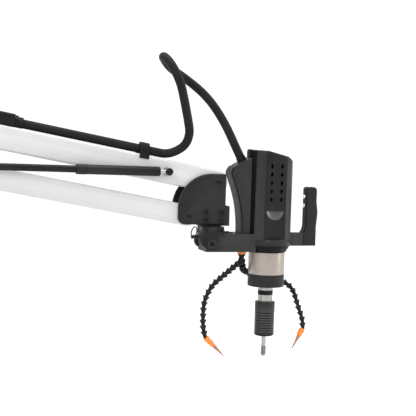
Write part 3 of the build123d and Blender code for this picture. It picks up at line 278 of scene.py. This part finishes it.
GROUND_STEEL = surface("ground_steel", (0.4, 0.4, 0.405), 0.28, metallic=1.0, spread=0.08, patches=90.0,
                      grain_depth=0.01, lines=ALONG_ARM, line_depth=0.2)
CHROME = surface("chrome_dome", (0.82, 0.82, 0.83), 0.1, metallic=1.0, spread=0.03, patches=200.0,
                 grain_depth=0.003)
BRONZE = surface("bronze_bush", (0.45, 0.27, 0.11), 0.36, metallic=1.0, spread=0.15, patches=120.0)
ALUMINIUM = surface("milled_aluminium", (0.7, 0.7, 0.71), 0.34, metallic=1.0, spread=0.05,
                    patches=80.0, lines=ALONG_ARM)
CHAMPAGNE = surface("champagne_gearbox", (0.3, 0.262, 0.228), 0.38, metallic=0.5, spread=0.05,
                    patches=40.0, grain_depth=0.01, lines=AROUND_Z, line_depth=0.12,
                    edge_wear_and_highlight=(0.4, 0.355, 0.31))
COLLAR_BLACK = surface("collar_textured", (0.017, 0.017, 0.0175), 0.5, spread=0.12, grain=1300.0,
                       grain_depth=0.07, speckle=0.45, lines=AROUND_Z, line_depth=0.2)
# The chuck sleeve's paler edges are painted highlight, standing for bright lines along its grooves.
SLEEVE_BLACK = surface("chuck_sleeve_black", (0.01, 0.01, 0.0103), 0.3, metallic=0.4, spread=0.2,
                       patches=90.0, lines=AROUND_Z, line_depth=0.3, edge_wear_and_highlight=(0.22, 0.22, 0.22))
BAND_BLACK = surface("band_rubber", (0.008, 0.008, 0.008), 0.5, spread=0.2, grain=1800.0)
GRIP_BLACK = knurled("grip_textured", (0.017, 0.017, 0.0175), 0.5)
HOSE_BLACK = surface("hose_black", (0.009, 0.009, 0.0093), 0.26, spread=0.18, patches=180.0, grain=1500.0,
                     grain_depth=0.015, edge_wear_and_highlight=(0.03, 0.03, 0.03))
ORANGE = surface("orange_moulded", (0.72, 0.17, 0.008), 0.3, spread=0.08, patches=120.0, grain=1400.0,
                 grain_depth=0.02, edge_wear_and_highlight=(0.8, 0.22, 0.05), coat=0.1)
COPPER = surface("copper_tip", (0.3, 0.155, 0.095), 0.3, metallic=0.9, spread=0.16, patches=300.0)
CONDUIT = surface("conduit_black", (0.0085, 0.0085, 0.0088), 0.46, spread=0.2, patches=60.0, grain=1700.0,
                  grain_depth=0.05, edge_wear_and_highlight=(0.025, 0.025, 0.025))
RUBBER = surface("boot_rubber", (0.008, 0.008, 0.0083), 0.5, spread=0.2, grain=1400.0, grain_depth=0.05)
BOARD_GREEN = surface("board_green", (0.02, 0.13, 0.06), 0.3, spread=0.2, patches=200.0, speckle=0.6)
WINDING = surface("stator_laminations", (0.02, 0.0195, 0.019), 0.5, metallic=0.3, lines=AROUND_Z,
                  line_depth=0.4)


# ---------------------------------------------------------------- meshes
SHARP_ANGLE = math.radians(31)
BEVEL_ANGLE = math.radians(38)
BEVEL_SEGMENTS = 2
MERGE_WITHIN = 0.002                # millimetres between points that are one
FLAT_WITHIN = math.radians(0.4)     # faces closer in angle than this are one face


def new_object(name, mesh, material):
    piece = bpy.data.objects.new(name, mesh)
    bpy.context.scene.collection.objects.link(piece)
    mesh.materials.clear()
    mesh.materials.append(material)
    return piece


def softened(piece, width):
    """Smooth shading, with small rounded edges unless their width in millimetres is 0."""
    mesh = piece.data
    mesh.polygons.foreach_set("use_smooth", [True] * len(mesh.polygons))
    mesh.set_sharp_from_angle(angle=SHARP_ANGLE)
    if width:
        bevel = piece.modifiers.new("edges", "BEVEL")
        bevel.width = width * MM
        bevel.segments = BEVEL_SEGMENTS
        bevel.limit_method = "ANGLE"
        bevel.angle_limit = BEVEL_ANGLE
        bevel.harden_normals = True
        bevel.use_clamp_overlap = True
    return piece


def loose_parts(node):
    """The separate closed forms of a CAD node, largest first, as meshes with their flat faces joined."""
    form = bmesh.new()
    form.from_mesh(frame["nodes"][node].data)
    bmesh.ops.remove_doubles(form, verts=form.verts, dist=MERGE_WITHIN * MM)
    bmesh.ops.dissolve_limit(form, angle_limit=FLAT_WITHIN, verts=form.verts, edges=form.edges)
    form.verts.ensure_lookup_table()
    unseen = set(form.verts)
    groups = []
    while unseen:
        start = unseen.pop()
        group, front = {start}, [start]
        while front:
            vertex = front.pop()
            for edge in vertex.link_edges:
                other = edge.other_vert(vertex)
                if other in unseen:
                    unseen.remove(other)
                    group.add(other)
                    front.append(other)
        groups.append(group)
    meshes = []
    for group in groups:
        index = {}
        points = []
        for vertex in sorted(group, key=lambda one: one.index):
            index[vertex] = len(points)
            points.append(vertex.co[:])
        faces = {face for vertex in group for face in vertex.link_faces}
        faces = sorted(faces, key=lambda one: one.index)
        mesh = bpy.data.meshes.new(node)
        mesh.from_pydata(points, [], [[index[v] for v in face.verts] for face in faces])
        meshes.append(mesh)
    form.free()
    return sorted(meshes, key=lambda one: (-round(mesh_size(one).length, 4), mesh_middle(one)[:]))


def mesh_low(mesh):
    return Vector([min(vertex.co[axis] for vertex in mesh.vertices) for axis in range(3)])


def mesh_high(mesh):
    return Vector([max(vertex.co[axis] for vertex in mesh.vertices) for axis in range(3)])


def mesh_size(mesh):
    return mesh_high(mesh) - mesh_low(mesh)


def mesh_middle(mesh):
    return (mesh_high(mesh) + mesh_low(mesh)) / 2


def carry(node, looks, width):
    """Stands a softened copy of each of a node's forms in its place.

    looks is one material, or a function from a form's mesh to one, or to None for a form that
    another piece stands in for.
    """
    pieces = []
    for number, mesh in enumerate(loose_parts(node)):
        material = looks(mesh) if callable(looks) else looks
        if material is None:
            continue
        piece = softened(new_object(f"{node}.{number + 1:02d}", mesh, material), width)
        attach(piece, BODY_OF[node])
        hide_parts(node)
        pieces.append(piece)
    return pieces


def ring_mesh(name, rings):
    """A mesh from rings of points, each joined to the next, with a flat cap at both ends."""
    count = len(rings[0])
    points = [point for ring in rings for point in ring]
    faces = []
    for number in range(len(rings) - 1):
        first, second = number * count, (number + 1) * count
        for k in range(count):
            after = (k + 1) % count
            faces.append((first + k, first + after, second + after, second + k))
    faces.append(tuple(reversed(range(count))))
    faces.append(tuple(range((len(rings) - 1) * count, len(rings) * count)))
    mesh = bpy.data.meshes.new(name)
    mesh.from_pydata([tuple(point) for point in points], [], faces)
    return mesh


def lathe(name, profile, start, direction, material, sides=40, radius_at=None):
    """A turned piece: profile is (radius, distance along the direction) pairs in millimetres.

    radius_at, if given, changes a ring's radius with the angle.
    """
    way = Vector(direction).normalized()
    across = way.orthogonal().normalized()
    third = way.cross(across)
    rings = []
    for radius, along in profile:
        ring = []
        for k in range(sides):
            angle = 2 * math.pi * k / sides
            r = radius_at(radius, along, angle) if radius_at else radius
            ring.append(Vector(start) + way * along * MM
                        + (across * math.cos(angle) + third * math.sin(angle)) * r * MM)
        rings.append(ring)
    return softened(new_object(name, ring_mesh(name, rings), material), 0)


def add_piece(piece, body):
    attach(piece, body)
    return piece


# ---------------------------------------------------------------- cable
CABLE_R = 10.5
CABLE_ROUTE = ((193.6, 0.0, 654.0), (515.4, 0.0, 597.3), (541.0, 0.0, 592.8), (565.0, -4.0, 600.0),
               (586.0, -11.0, 616.0), (592.0, -21.0, 643.0), (584.0, -30.0, 672.0), (576.0, -37.0, 699.0),
               (568.0, -43.0, 726.0), (560.0, -47.0, 752.0), (548.0, -46.0, 778.0), (535.0, -34.0, 803.0),
               (527.0, -6.0, 817.0), (536.0, 24.0, 813.0), (558.0, 44.0, 793.0), (587.0, 51.0, 778.0),
               (614.0, 50.0, 760.0), (640.0, 42.0, 738.0), (662.0, 33.0, 712.0), (681.0, 24.0, 682.0),
               (696.0, 13.0, 651.0), (708.8, 0.0, 617.2), (727.8, 0.0, 581.2))
CABLE_PIECES = (("cable_on_arm", "upper_arm", None), ("cable_bend", "upper_arm", "knuckle"),
                ("cable_rise", "knuckle", "swivel"), ("cable_fall", "swivel", "head"))
CABLE_JOINS = ((513.2, 0.0, 597.7), (580.0, -33.5, 685.5), (531.5, 9.0, 815.0))
RIB_PITCH = 4.6
RINGS_PER_RIB = 4
RIB_DEPTH = 0.6
CABLE_SIDES = 28
SPLINE_ORDER = 3
SPLINE_STEPS = 24
SHORTEST_LAST = 0.4                 # the last step may be this share of a full one


def spline_points(route):
    """Points along the smooth curve whose control points are the route."""
    curve = bpy.data.curves.new("cable_line", "CURVE")
    curve.dimensions = "3D"
    curve.resolution_u = SPLINE_STEPS
    spline = curve.splines.new("NURBS")
    spline.points.add(len(route) - 1)
    for point, place in zip(spline.points, route):
        point.co = (*(value * MM for value in place), 1.0)
    spline.order_u = SPLINE_ORDER
    spline.use_endpoint_u = True
    line = bpy.data.objects.new("cable_line", curve)
    bpy.context.scene.collection.objects.link(line)
    bpy.context.view_layer.update()
    mesh = bpy.data.meshes.new_from_object(line)
    points = [vertex.co.copy() for vertex in mesh.vertices]
    bpy.data.objects.remove(line)
    bpy.data.meshes.remove(mesh)
    return points


def evenly(points, step):
    """The same line with its points one step apart."""
    result = [points[0]]
    walked, due = 0.0, step
    for a, b in zip(points, points[1:]):
        run = (b - a).length
        while run and walked + run >= due:
            result.append(a.lerp(b, (due - walked) / run))
            due += step
        walked += run
    if (result[-1] - points[-1]).length > step * SHORTEST_LAST:
        result.append(points[-1])
    else:
        result[-1] = points[-1]
    return result


def nearest(points, place):
    return min(range(len(points)), key=lambda k: (points[k] - place).length)


def cable_rings(points):
    """Ribbed rings round the line, carried along it without twisting."""
    across = (points[1] - points[0]).orthogonal().normalized()
    rings = []
    for k, point in enumerate(points):
        way = (points[min(k + 1, len(points) - 1)] - points[max(k - 1, 0)]).normalized()
        across = (across - way * across.dot(way)).normalized()
        third = way.cross(across)
        rib = (1 - math.cos(2 * math.pi * k / RINGS_PER_RIB)) / 2
        radius = (CABLE_R - RIB_DEPTH * rib) * MM
        rings.append([point + (across * math.cos(2 * math.pi * n / CABLE_SIDES)
                               + third * math.sin(2 * math.pi * n / CABLE_SIDES)) * radius
                      for n in range(CABLE_SIDES)])
    return rings


def add_cable():
    points = evenly(spline_points(CABLE_ROUTE), RIB_PITCH / RINGS_PER_RIB * MM)
    rings = cable_rings(points)
    joins = [nearest(points, Vector(place) * MM) for place in CABLE_JOINS]
    ends = [0] + joins + [len(points) - 1]
    for (node, before, after), first, last in zip(CABLE_PIECES, ends, ends[1:]):
        mesh = ring_mesh(node + "_ribbed", rings[first:last + 1])
        piece = softened(new_object(node + "_ribbed", mesh, CONDUIT), 0)
        if after:
            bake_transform(piece)
        else:
            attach(piece, before)
        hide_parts(node)


add_cable()


# ---------------------------------------------------------------- column and turret
carry("base_flange", CHARCOAL, 1.0)
carry("column_tube", CHARCOAL, 0.8)
carry("turret_block", CHARCOAL, 0.8)
carry("turret_plates", CHARCOAL, 0.6)
carry("turret_screws", BLACK_OXIDE, 0.3)
carry("turret_shaft", TURNED_STEEL, 0.4)
carry("rear_pins", BLACK_OXIDE, 0.5)

# ---------------------------------------------------------------- arms and gas spring
SPRING_PIN_Y = -25.0                # the spring's front pin lies on the near side of this
BUSH_LENGTH = 56.0                  # the diagonal of a bush's box is shorter, an end block's longer
WIDE_COLLAR = 20.0


def pin_or_bush(mesh):
    """The bushes are bronze, the end blocks aluminium, and the spring's front pin is black."""
    if mesh_middle(mesh).y < SPRING_PIN_Y * MM:
        return BLACK_OXIDE
    return BRONZE if mesh_size(mesh).length < BUSH_LENGTH * MM else ALUMINIUM


def dark_or_silver_spring(mesh):
    """The wide collar is dark, and the narrower forms are silver."""
    return BLACK_OXIDE if mesh_size(mesh).y > WIDE_COLLAR * MM else GROUND_STEEL


carry("upper_arm_tube", WHITE, 0.6)
carry("lower_arm_tube", WHITE, 0.6)
carry("upper_arm_fittings", pin_or_bush, 0.3)
carry("lower_arm_fittings", pin_or_bush, 0.3)
carry("cable_clip", RUBBER, 0.6)
carry("cable_entry", RUBBER, 0.6)
carry("spring_tube", BLACK_OXIDE, 0.4)
carry("spring_fittings", dark_or_silver_spring, 0.3)
carry("spring_rod", GROUND_STEEL, 0.3)

# ---------------------------------------------------------------- knuckle and yoke
carry("knuckle_plates", CHARCOAL, 0.5)
carry("hub_block", CHARCOAL, 0.6)
carry("knuckle_screws", BLACK_OXIDE, 0.3)
carry("front_pins", PIN_STEEL, 0.5)
carry("swivel_shaft", BLACK_OXIDE, 0.4)
carry("yoke", CHARCOAL, 0.5)
carry("cheek_plates", CHARCOAL, 0.5)
carry("yoke_fasteners", BLACK_OXIDE, 0.3)
carry("index_plunger", BLACK_OXIDE, 0.2)


# ---------------------------------------------------------------- head
SCREW_LENGTH = 20.0                 # the diagonal of a skirt screw's box is shorter
FITTING_HEIGHT = 10.0
GROMMET_HEIGHT = 40.0
COLLAR_HEIGHT = 20.0
SPINDLE_HEIGHT = 20.0


def skirt_or_screw(mesh):
    return PIN_STEEL if mesh_size(mesh).length < SCREW_LENGTH * MM else COWL_BLACK


def fitting_without_splitter(mesh):
    return ORANGE if mesh_size(mesh).z < FITTING_HEIGHT * MM else None


def back_without_grommet(mesh):
    return None if mesh_size(mesh).z < GROMMET_HEIGHT * MM else FAIRING_GREY


def collar_or_bearing(mesh):
    return COLLAR_BLACK if mesh_size(mesh).z > COLLAR_HEIGHT * MM else TURNED_STEEL


def spindle_or_band(mesh):
    return TURNED_STEEL if mesh_size(mesh).z > SPINDLE_HEIGHT * MM else BAND_BLACK


FRONT_FACING, SHADED_SIDE_FACING = -0.995, -0.81   # a face normal's y and x
PANEL_DEPTH = 1.2
SCOOP_Z = (54.0, 78.0)
SCOOP_X = 23.0
SCOOP_Y = -36.0


def in_scoop(face):
    x = (face.center.x - HEAD_X) / MM
    z = (face.center.z - HEAD_Z) / MM
    inside = abs(x) < SCOOP_X and SCOOP_Z[0] < z < SCOOP_Z[1]
    return inside and face.center.y < SCOOP_Y * MM and face.normal.y < 0


def paint_panel(piece):
    """The cowl's flat front gets a coarser finish, its scoop a paler colour as painted light, and its side towards
    the arm a near-black as painted shade.
    """
    mesh = piece.data
    mesh.materials.append(PANEL_BLACK)
    mesh.materials.append(SCOOP_PAINTED_LIGHT)
    mesh.materials.append(PAINTED_SHADE_BLACK)
    front = mesh_low(mesh).y
    for face in mesh.polygons:
        if face.normal.y < FRONT_FACING and face.center.y < front + PANEL_DEPTH * MM:
            face.material_index = 1
        # Painted light on the scoop's floor.
        elif in_scoop(face):
            face.material_index = 2
        # Painted shade on the cowl's side towards the arm.
        elif face.normal.x < SHADED_SIDE_FACING:
            face.material_index = 3


def paint_where(piece, chosen):
    """The chosen faces get painted shade, the near-black for faces that lie in shade."""
    piece.data.materials.append(PAINTED_SHADE_BLACK)
    for face in piece.data.polygons:
        if chosen(face):
            face.material_index = 1


UPWARD = 0.3                        # a top face's normal has at least this z
TOP_FLAT_WITHIN = math.radians(5)
RIM_REACH, RIM_FRONT, RIM_BOTTOM = 54.0, -47.9, 185.0
RIM_SEGMENTS = 4
LONG_EDGE, LONG_EDGE_WEIGHT = 12.0, 0.1


def on_rim(edge):
    """Whether a sharp edge lies on the outline of the cowl's top."""
    middle = (edge.verts[0].co + edge.verts[1].co) / 2
    reach = math.hypot(middle.x - HEAD_X, middle.y) / MM
    outside = reach > RIM_REACH or middle.y < RIM_FRONT * MM
    top = max(face.normal.z for face in edge.link_faces) > UPWARD
    return outside and top and middle.z > HEAD_Z + RIM_BOTTOM * MM


def round_rim(piece):
    """The cowl's top rim gets the full bevel, and its other long sharp edges a tenth of it."""
    form = bmesh.new()
    form.from_mesh(piece.data)
    tops = [edge for edge in form.edges if all(face.normal.z > UPWARD for face in edge.link_faces)]
    corners = sorted({vertex for edge in tops for vertex in edge.verts}, key=lambda one: one.index)
    bmesh.ops.dissolve_limit(form, angle_limit=TOP_FLAT_WITHIN, edges=tops, verts=corners)
    weight = form.edges.layers.float.new("bevel_weight_edge")
    for edge in form.edges:
        if len(edge.link_faces) != 2 or edge.calc_face_angle() < BEVEL_ANGLE:
            continue
        if on_rim(edge):
            edge[weight] = 1.0
        elif edge.calc_length() > LONG_EDGE * MM:
            edge[weight] = LONG_EDGE_WEIGHT
    form.to_mesh(piece.data)
    form.free()
    bevel = piece.modifiers["edges"]
    bevel.limit_method = "WEIGHT"
    bevel.segments = RIM_SEGMENTS
    bevel.use_clamp_overlap = False


SKIRT_SHADE_FACING, GRIP_SHADE_FACING = -0.3, -0.7     # a face normal's z and x

carry("beam", BEAM_BLACK, 0.7)
for cowl_piece in carry("motor_cowl", COWL_BLACK, 5.0):
    paint_panel(cowl_piece)
    round_rim(cowl_piece)
# The skirt's downward faces get painted shade.
for skirt_piece in carry("cowl_skirt", skirt_or_screw, 0.4):
    paint_where(skirt_piece, lambda face: face.normal.z < SKIRT_SHADE_FACING)
carry("fairing", COWL_BLACK, 0.6)
carry("fairing_back", back_without_grommet, 0.6)
carry("gearbox_body", CHAMPAGNE, 0.6)
carry("gearbox_collar", collar_or_bearing, 0.6)
carry("handle_arm", BEAM_BLACK, 0.6)
# The grip's side facing −X gets painted shade.
for grip_piece in carry("handle_grip", GRIP_BLACK, 0.5):
    paint_where(grip_piece, lambda face: face.normal.x < GRIP_SHADE_FACING)
carry("button_upper", CHROME, 0.0)
carry("button_lower", CHROME, 0.0)
carry("coolant_splitter", fitting_without_splitter, 0.4)
carry("spindle", spindle_or_band, 0.4)
carry("chuck_body", TURNED_STEEL, 0.3)
carry("chuck_sleeve", SLEEVE_BLACK, 0.5)

# Pieces inside closed housings keep their CAD meshes.
INNER_STEEL = ("column_bearings", "swivel_bearings", "motor_rotor", "ring_gear", "sun_gear",
               "planet_carrier", "planet_gear_1", "planet_gear_2", "planet_gear_3")
INNER = {"control_board": BOARD_GREEN, "motor_stator": WINDING, **dict.fromkeys(INNER_STEEL, TURNED_STEEL)}
for inner_node, inner_material in INNER.items():
    inner_mesh = frame["nodes"][inner_node].data
    inner_mesh.materials.clear()
    inner_mesh.materials.append(inner_material)

# ---------------------------------------------------------------- tap
TAP_TIP, TAP_THREAD_TOP, TAP_TOP = -275.0, -252.0, -190.0
TAP_SHANK_R, TAP_R = 5.4, 6.9
THREAD_PITCH, THREAD_DEPTH = 1.75, 0.9
RINGS_PER_THREAD = 6
FLUTES, FLUTE_DEPTH, FLUTE_SHARPNESS = 4, 2.3, 1.5
LEAD, LEAD_DEPTH = 5.0, 1.6
RUN_OUT = 2.0                       # plain shank just above the thread
THREAD_STEP = 0.01                  # from the shank's last ring to the thread's first
TAP_SIDES = 72


def tap_radius(radius, along, angle):
    """Threads as a helix, four flutes, and a lead that narrows towards the tip."""
    height = TAP_TOP - along
    if height > TAP_THREAD_TOP:
        return radius
    turn = (height / THREAD_PITCH - angle / (2 * math.pi)) % 1.0
    thread = THREAD_DEPTH * abs(2 * turn - 1)
    flute = FLUTE_DEPTH * max(0.0, math.cos(FLUTES * angle)) ** FLUTE_SHARPNESS
    lead = LEAD_DEPTH * max(0.0, 1 - (height - TAP_TIP) / LEAD)
    return radius - thread - flute - lead


def add_tap():
    shank = TAP_TOP - TAP_THREAD_TOP
    profile = [(TAP_SHANK_R, 0.0), (TAP_SHANK_R, shank - RUN_OUT), (TAP_SHANK_R, shank)]
    step = THREAD_PITCH / RINGS_PER_THREAD
    count = int((TAP_THREAD_TOP - TAP_TIP) / step)
    profile += [(TAP_R, shank + THREAD_STEP + step * k) for k in range(count)]
    tap = lathe("tap_threaded", profile, in_head(0, 0, TAP_TOP), (0, 0, -1), TURNED_STEEL, TAP_SIDES,
                tap_radius)
    add_piece(tap, "spindle")
    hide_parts("tap")


add_tap()


# ---------------------------------------------------------------- coolant hoses and nozzles
HOSE_CUP = ((2.5, -7.2), (6.8, -7.1), (8.3, -6.4), (8.2, -5.0), (7.2, -3.0), (6.0, -0.5), (4.9, 2.5),
            (4.2, 5.2), (4.2, 7.5), (4.8, 9.0), (2.5, 9.2))
CUP_SIDES = 24
HOSE_START = (-63, 0, -43)


def chained(places, start):
    """The places in order along the hose, from the one nearest the start."""
    left, chain, here = list(places), [], start
    while left:
        here = min(left, key=lambda place: (place - here).length)
        left.remove(here)
        chain.append(here)
    return chain


def add_hose(node):
    """A row of cups, each with its wide rim upstream and its neck in the next one's rim."""
    places = chained([mesh_middle(mesh) for mesh in loose_parts(node)], in_head(*HOSE_START))
    for number, place in enumerate(places):
        before = places[max(number - 1, 0)]
        after = places[min(number + 1, len(places) - 1)]
        cup = lathe(f"{node}.{number + 1:02d}", HOSE_CUP, place, after - before, HOSE_BLACK, CUP_SIDES)
        add_piece(cup, BODY_OF[node])
        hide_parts(node)


SPLITTER_CUPS = (((-63.0, 0.0, -35.0), (0, 0, -1)), ((-66.5, -1.5, -45.5), (-9, -3, -7)),
                 ((-60.5, 3.0, -49.0), (5, 8, -7)))
SPLITTER_SCALE = 1.12               # its cups are this much wider than a hose's


def add_splitter():
    """The splitter as short sockets of the same system: one down and one to each hose."""
    profile = [(radius * SPLITTER_SCALE, along) for radius, along in HOSE_CUP]
    for number, (place, way) in enumerate(SPLITTER_CUPS):
        cup = lathe(f"splitter_{number + 1}", profile, in_head(*place), way, HOSE_BLACK, CUP_SIDES)
        add_piece(cup, BODY_OF["coolant_splitter"])
        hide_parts("coolant_splitter")


add_hose("hose_left")
add_hose("hose_right")
add_splitter()

# Each nozzle's hose end, its cone's shoulder and its tip.
NOZZLES = (("nozzle_left", (-151, -20, -224.5), (-121, -18, -254), (-105, -16, -269)),
           ("nozzle_right", (105.5, 17.5, -217.5), (90, 12, -241), (77, 8, -262)))
SPOUT_SIDES = 28


def add_nozzle(node, start, shoulder, tip):
    """A stubby orange socket with a copper cone out of its end."""
    start, shoulder, tip = in_head(*start), in_head(*shoulder), in_head(*tip)
    way = shoulder - start
    length = way.length / MM
    body = lathe(node + "_body", [(3.2, -3.0), (4.6, -2.6), (6.6, -1.6), (7.4, 0.2), (7.5, 3.0), (7.2, 7.0),
                                  (6.6, 11.0), (6.9, 12.0), (6.7, 15.0), (6.2, length * 0.5),
                                  (5.6, length * 0.62), (4.6, length * 0.64), (3.0, length * 0.64)],
                 start, way, ORANGE)
    add_piece(body, node)
    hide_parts(node)
    reach = (tip - start).length / MM
    spout = lathe(node + "_tip", [(3.6, length * 0.58), (4.6, length * 0.64), (4.3, length * 0.8),
                                  (3.0, length + 2.0), (1.8, reach - 8.0), (1.3, reach), (0.7, reach),
                                  (0.6, reach - 5.0)],
                  start, tip - start, COPPER, SPOUT_SIDES)
    add_piece(spout, node)
    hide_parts(node)


for nozzle in NOZZLES:
    add_nozzle(*nozzle)

# ---------------------------------------------------------------- small details
BOOT_PROFILE = ((10.6, 0.0), (11.7, 0.5), (11.9, 3.0), (11.4, 5.6), (11.6, 7.6), (11.1, 10.2),
                (11.3, 12.4), (10.9, 14.0), (10.3, 14.3))
BOOT_SUNK = 3                       # the part of the boot inside the fairing
BOOT_SIDES = 44


def add_cable_boot():
    """The tapered, ribbed relief where the cable goes into the fairing."""
    into, last = Vector(CABLE_ROUTE[-1]) * MM, Vector(CABLE_ROUTE[-2]) * MM
    way = last - into
    foot = into - way.normalized() * BOOT_SUNK * MM
    boot = lathe("cable_boot", BOOT_PROFILE, foot, way, RUBBER, BOOT_SIDES)
    add_piece(boot, "head")
    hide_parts("fairing_back")


FAIRING_SCREWS = ((-60.8, 168.0), (-61.8, 70.0))
SCREW_HEAD = ((0.6, 0.6), (1.5, 0.55), (1.6, -0.35), (3.0, -0.3), (3.3, -0.1), (3.4, 0.5), (3.2, 1.0))
SCREW_SIDES = 32


def add_fairing_screws():
    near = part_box("fairing")[0][1] / MM
    for number, (x, z) in enumerate(FAIRING_SCREWS):
        screw = lathe(f"fairing_screw_{number + 1}", SCREW_HEAD, in_head(x, near, z), (0, 1, 0),
                      BLACK_OXIDE, SCREW_SIDES)
        add_piece(screw, "head")


# Each nut's x and y, its radius and its height.
BEAM_NUTS = ((-114.0, -6.0, 5.2, 6.5), (-104.5, -10.0, 4.4, 5.0), (-96.0, -14.0, 4.0, 3.6))
NUT_SUNK = 0.6
NUT_CHAMFER, NUT_CHAMFER_DEPTH = 0.8, 0.6


def add_beam_nuts():
    """Three low hexagon nuts on the beam's top behind the fairing."""
    top = (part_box("beam")[1][2] - HEAD_Z) / MM
    for number, (x, y, radius, height) in enumerate(BEAM_NUTS):
        profile = ((radius, -NUT_SUNK), (radius, height - NUT_CHAMFER_DEPTH),
                   (radius - NUT_CHAMFER, height))
        nut = lathe(f"beam_nut_{number + 1}", profile, in_head(x, y, top), (0, 0, 1), BLACK_OXIDE, 6)
        add_piece(nut, "head")


add_cable_boot()
add_fairing_screws()
add_beam_nuts()


# ---------------------------------------------------------------- floor and light
FLOOR_HALF = 30.0
WORLD_STRENGTH = 1.12


def add_floor():
    mesh = bpy.data.meshes.new("floor")
    corners = [(x * FLOOR_HALF, y * FLOOR_HALF, 0) for x, y in ((-1, -1), (1, -1), (1, 1), (-1, 1))]
    mesh.from_pydata(corners, [], [(0, 1, 2, 3)])
    pale = surface("pale_floor", (0.93, 0.93, 0.93), 0.7, spread=0.01, patches=0.6, grain=60.0,
                   grain_depth=0.0)
    floor = new_object("floor", mesh, pale)


def add_light(name, place, target, size, power):
    data = bpy.data.lights.new(name, "AREA")
    data.shape = "RECTANGLE"
    data.size, data.size_y = size
    data.energy = power
    lamp = bpy.data.objects.new(name, data)
    place, target = Vector(place), Vector(target)
    lamp.location = place
    lamp.rotation_euler = (target - place).to_track_quat("-Z", "Y").to_euler()
    bpy.context.scene.collection.objects.link(lamp)


def add_world():
    world = bpy.data.worlds.new("white_room")
    world.use_nodes = True
    background = world.node_tree.nodes["Background"]
    background.inputs["Color"].default_value = (1.0, 1.0, 1.0, 1.0)
    background.inputs["Strength"].default_value = WORLD_STRENGTH
    bpy.context.scene.world = world


add_floor()
add_world()
add_light("key_left", (-0.9, -1.7, 1.7), (0.7, 0.0, 0.45), (0.5, 1.2), 22.0)
add_light("top", (0.6, -0.2, 2.3), (0.7, 0.0, 0.5), (1.4, 1.0), 25.0)
add_light("edge_right", (2.3, -0.5, 0.9), (0.8, 0.0, 0.45), (0.4, 1.2), 14.0)
bpy.context.scene.view_settings.view_transform = "Standard"
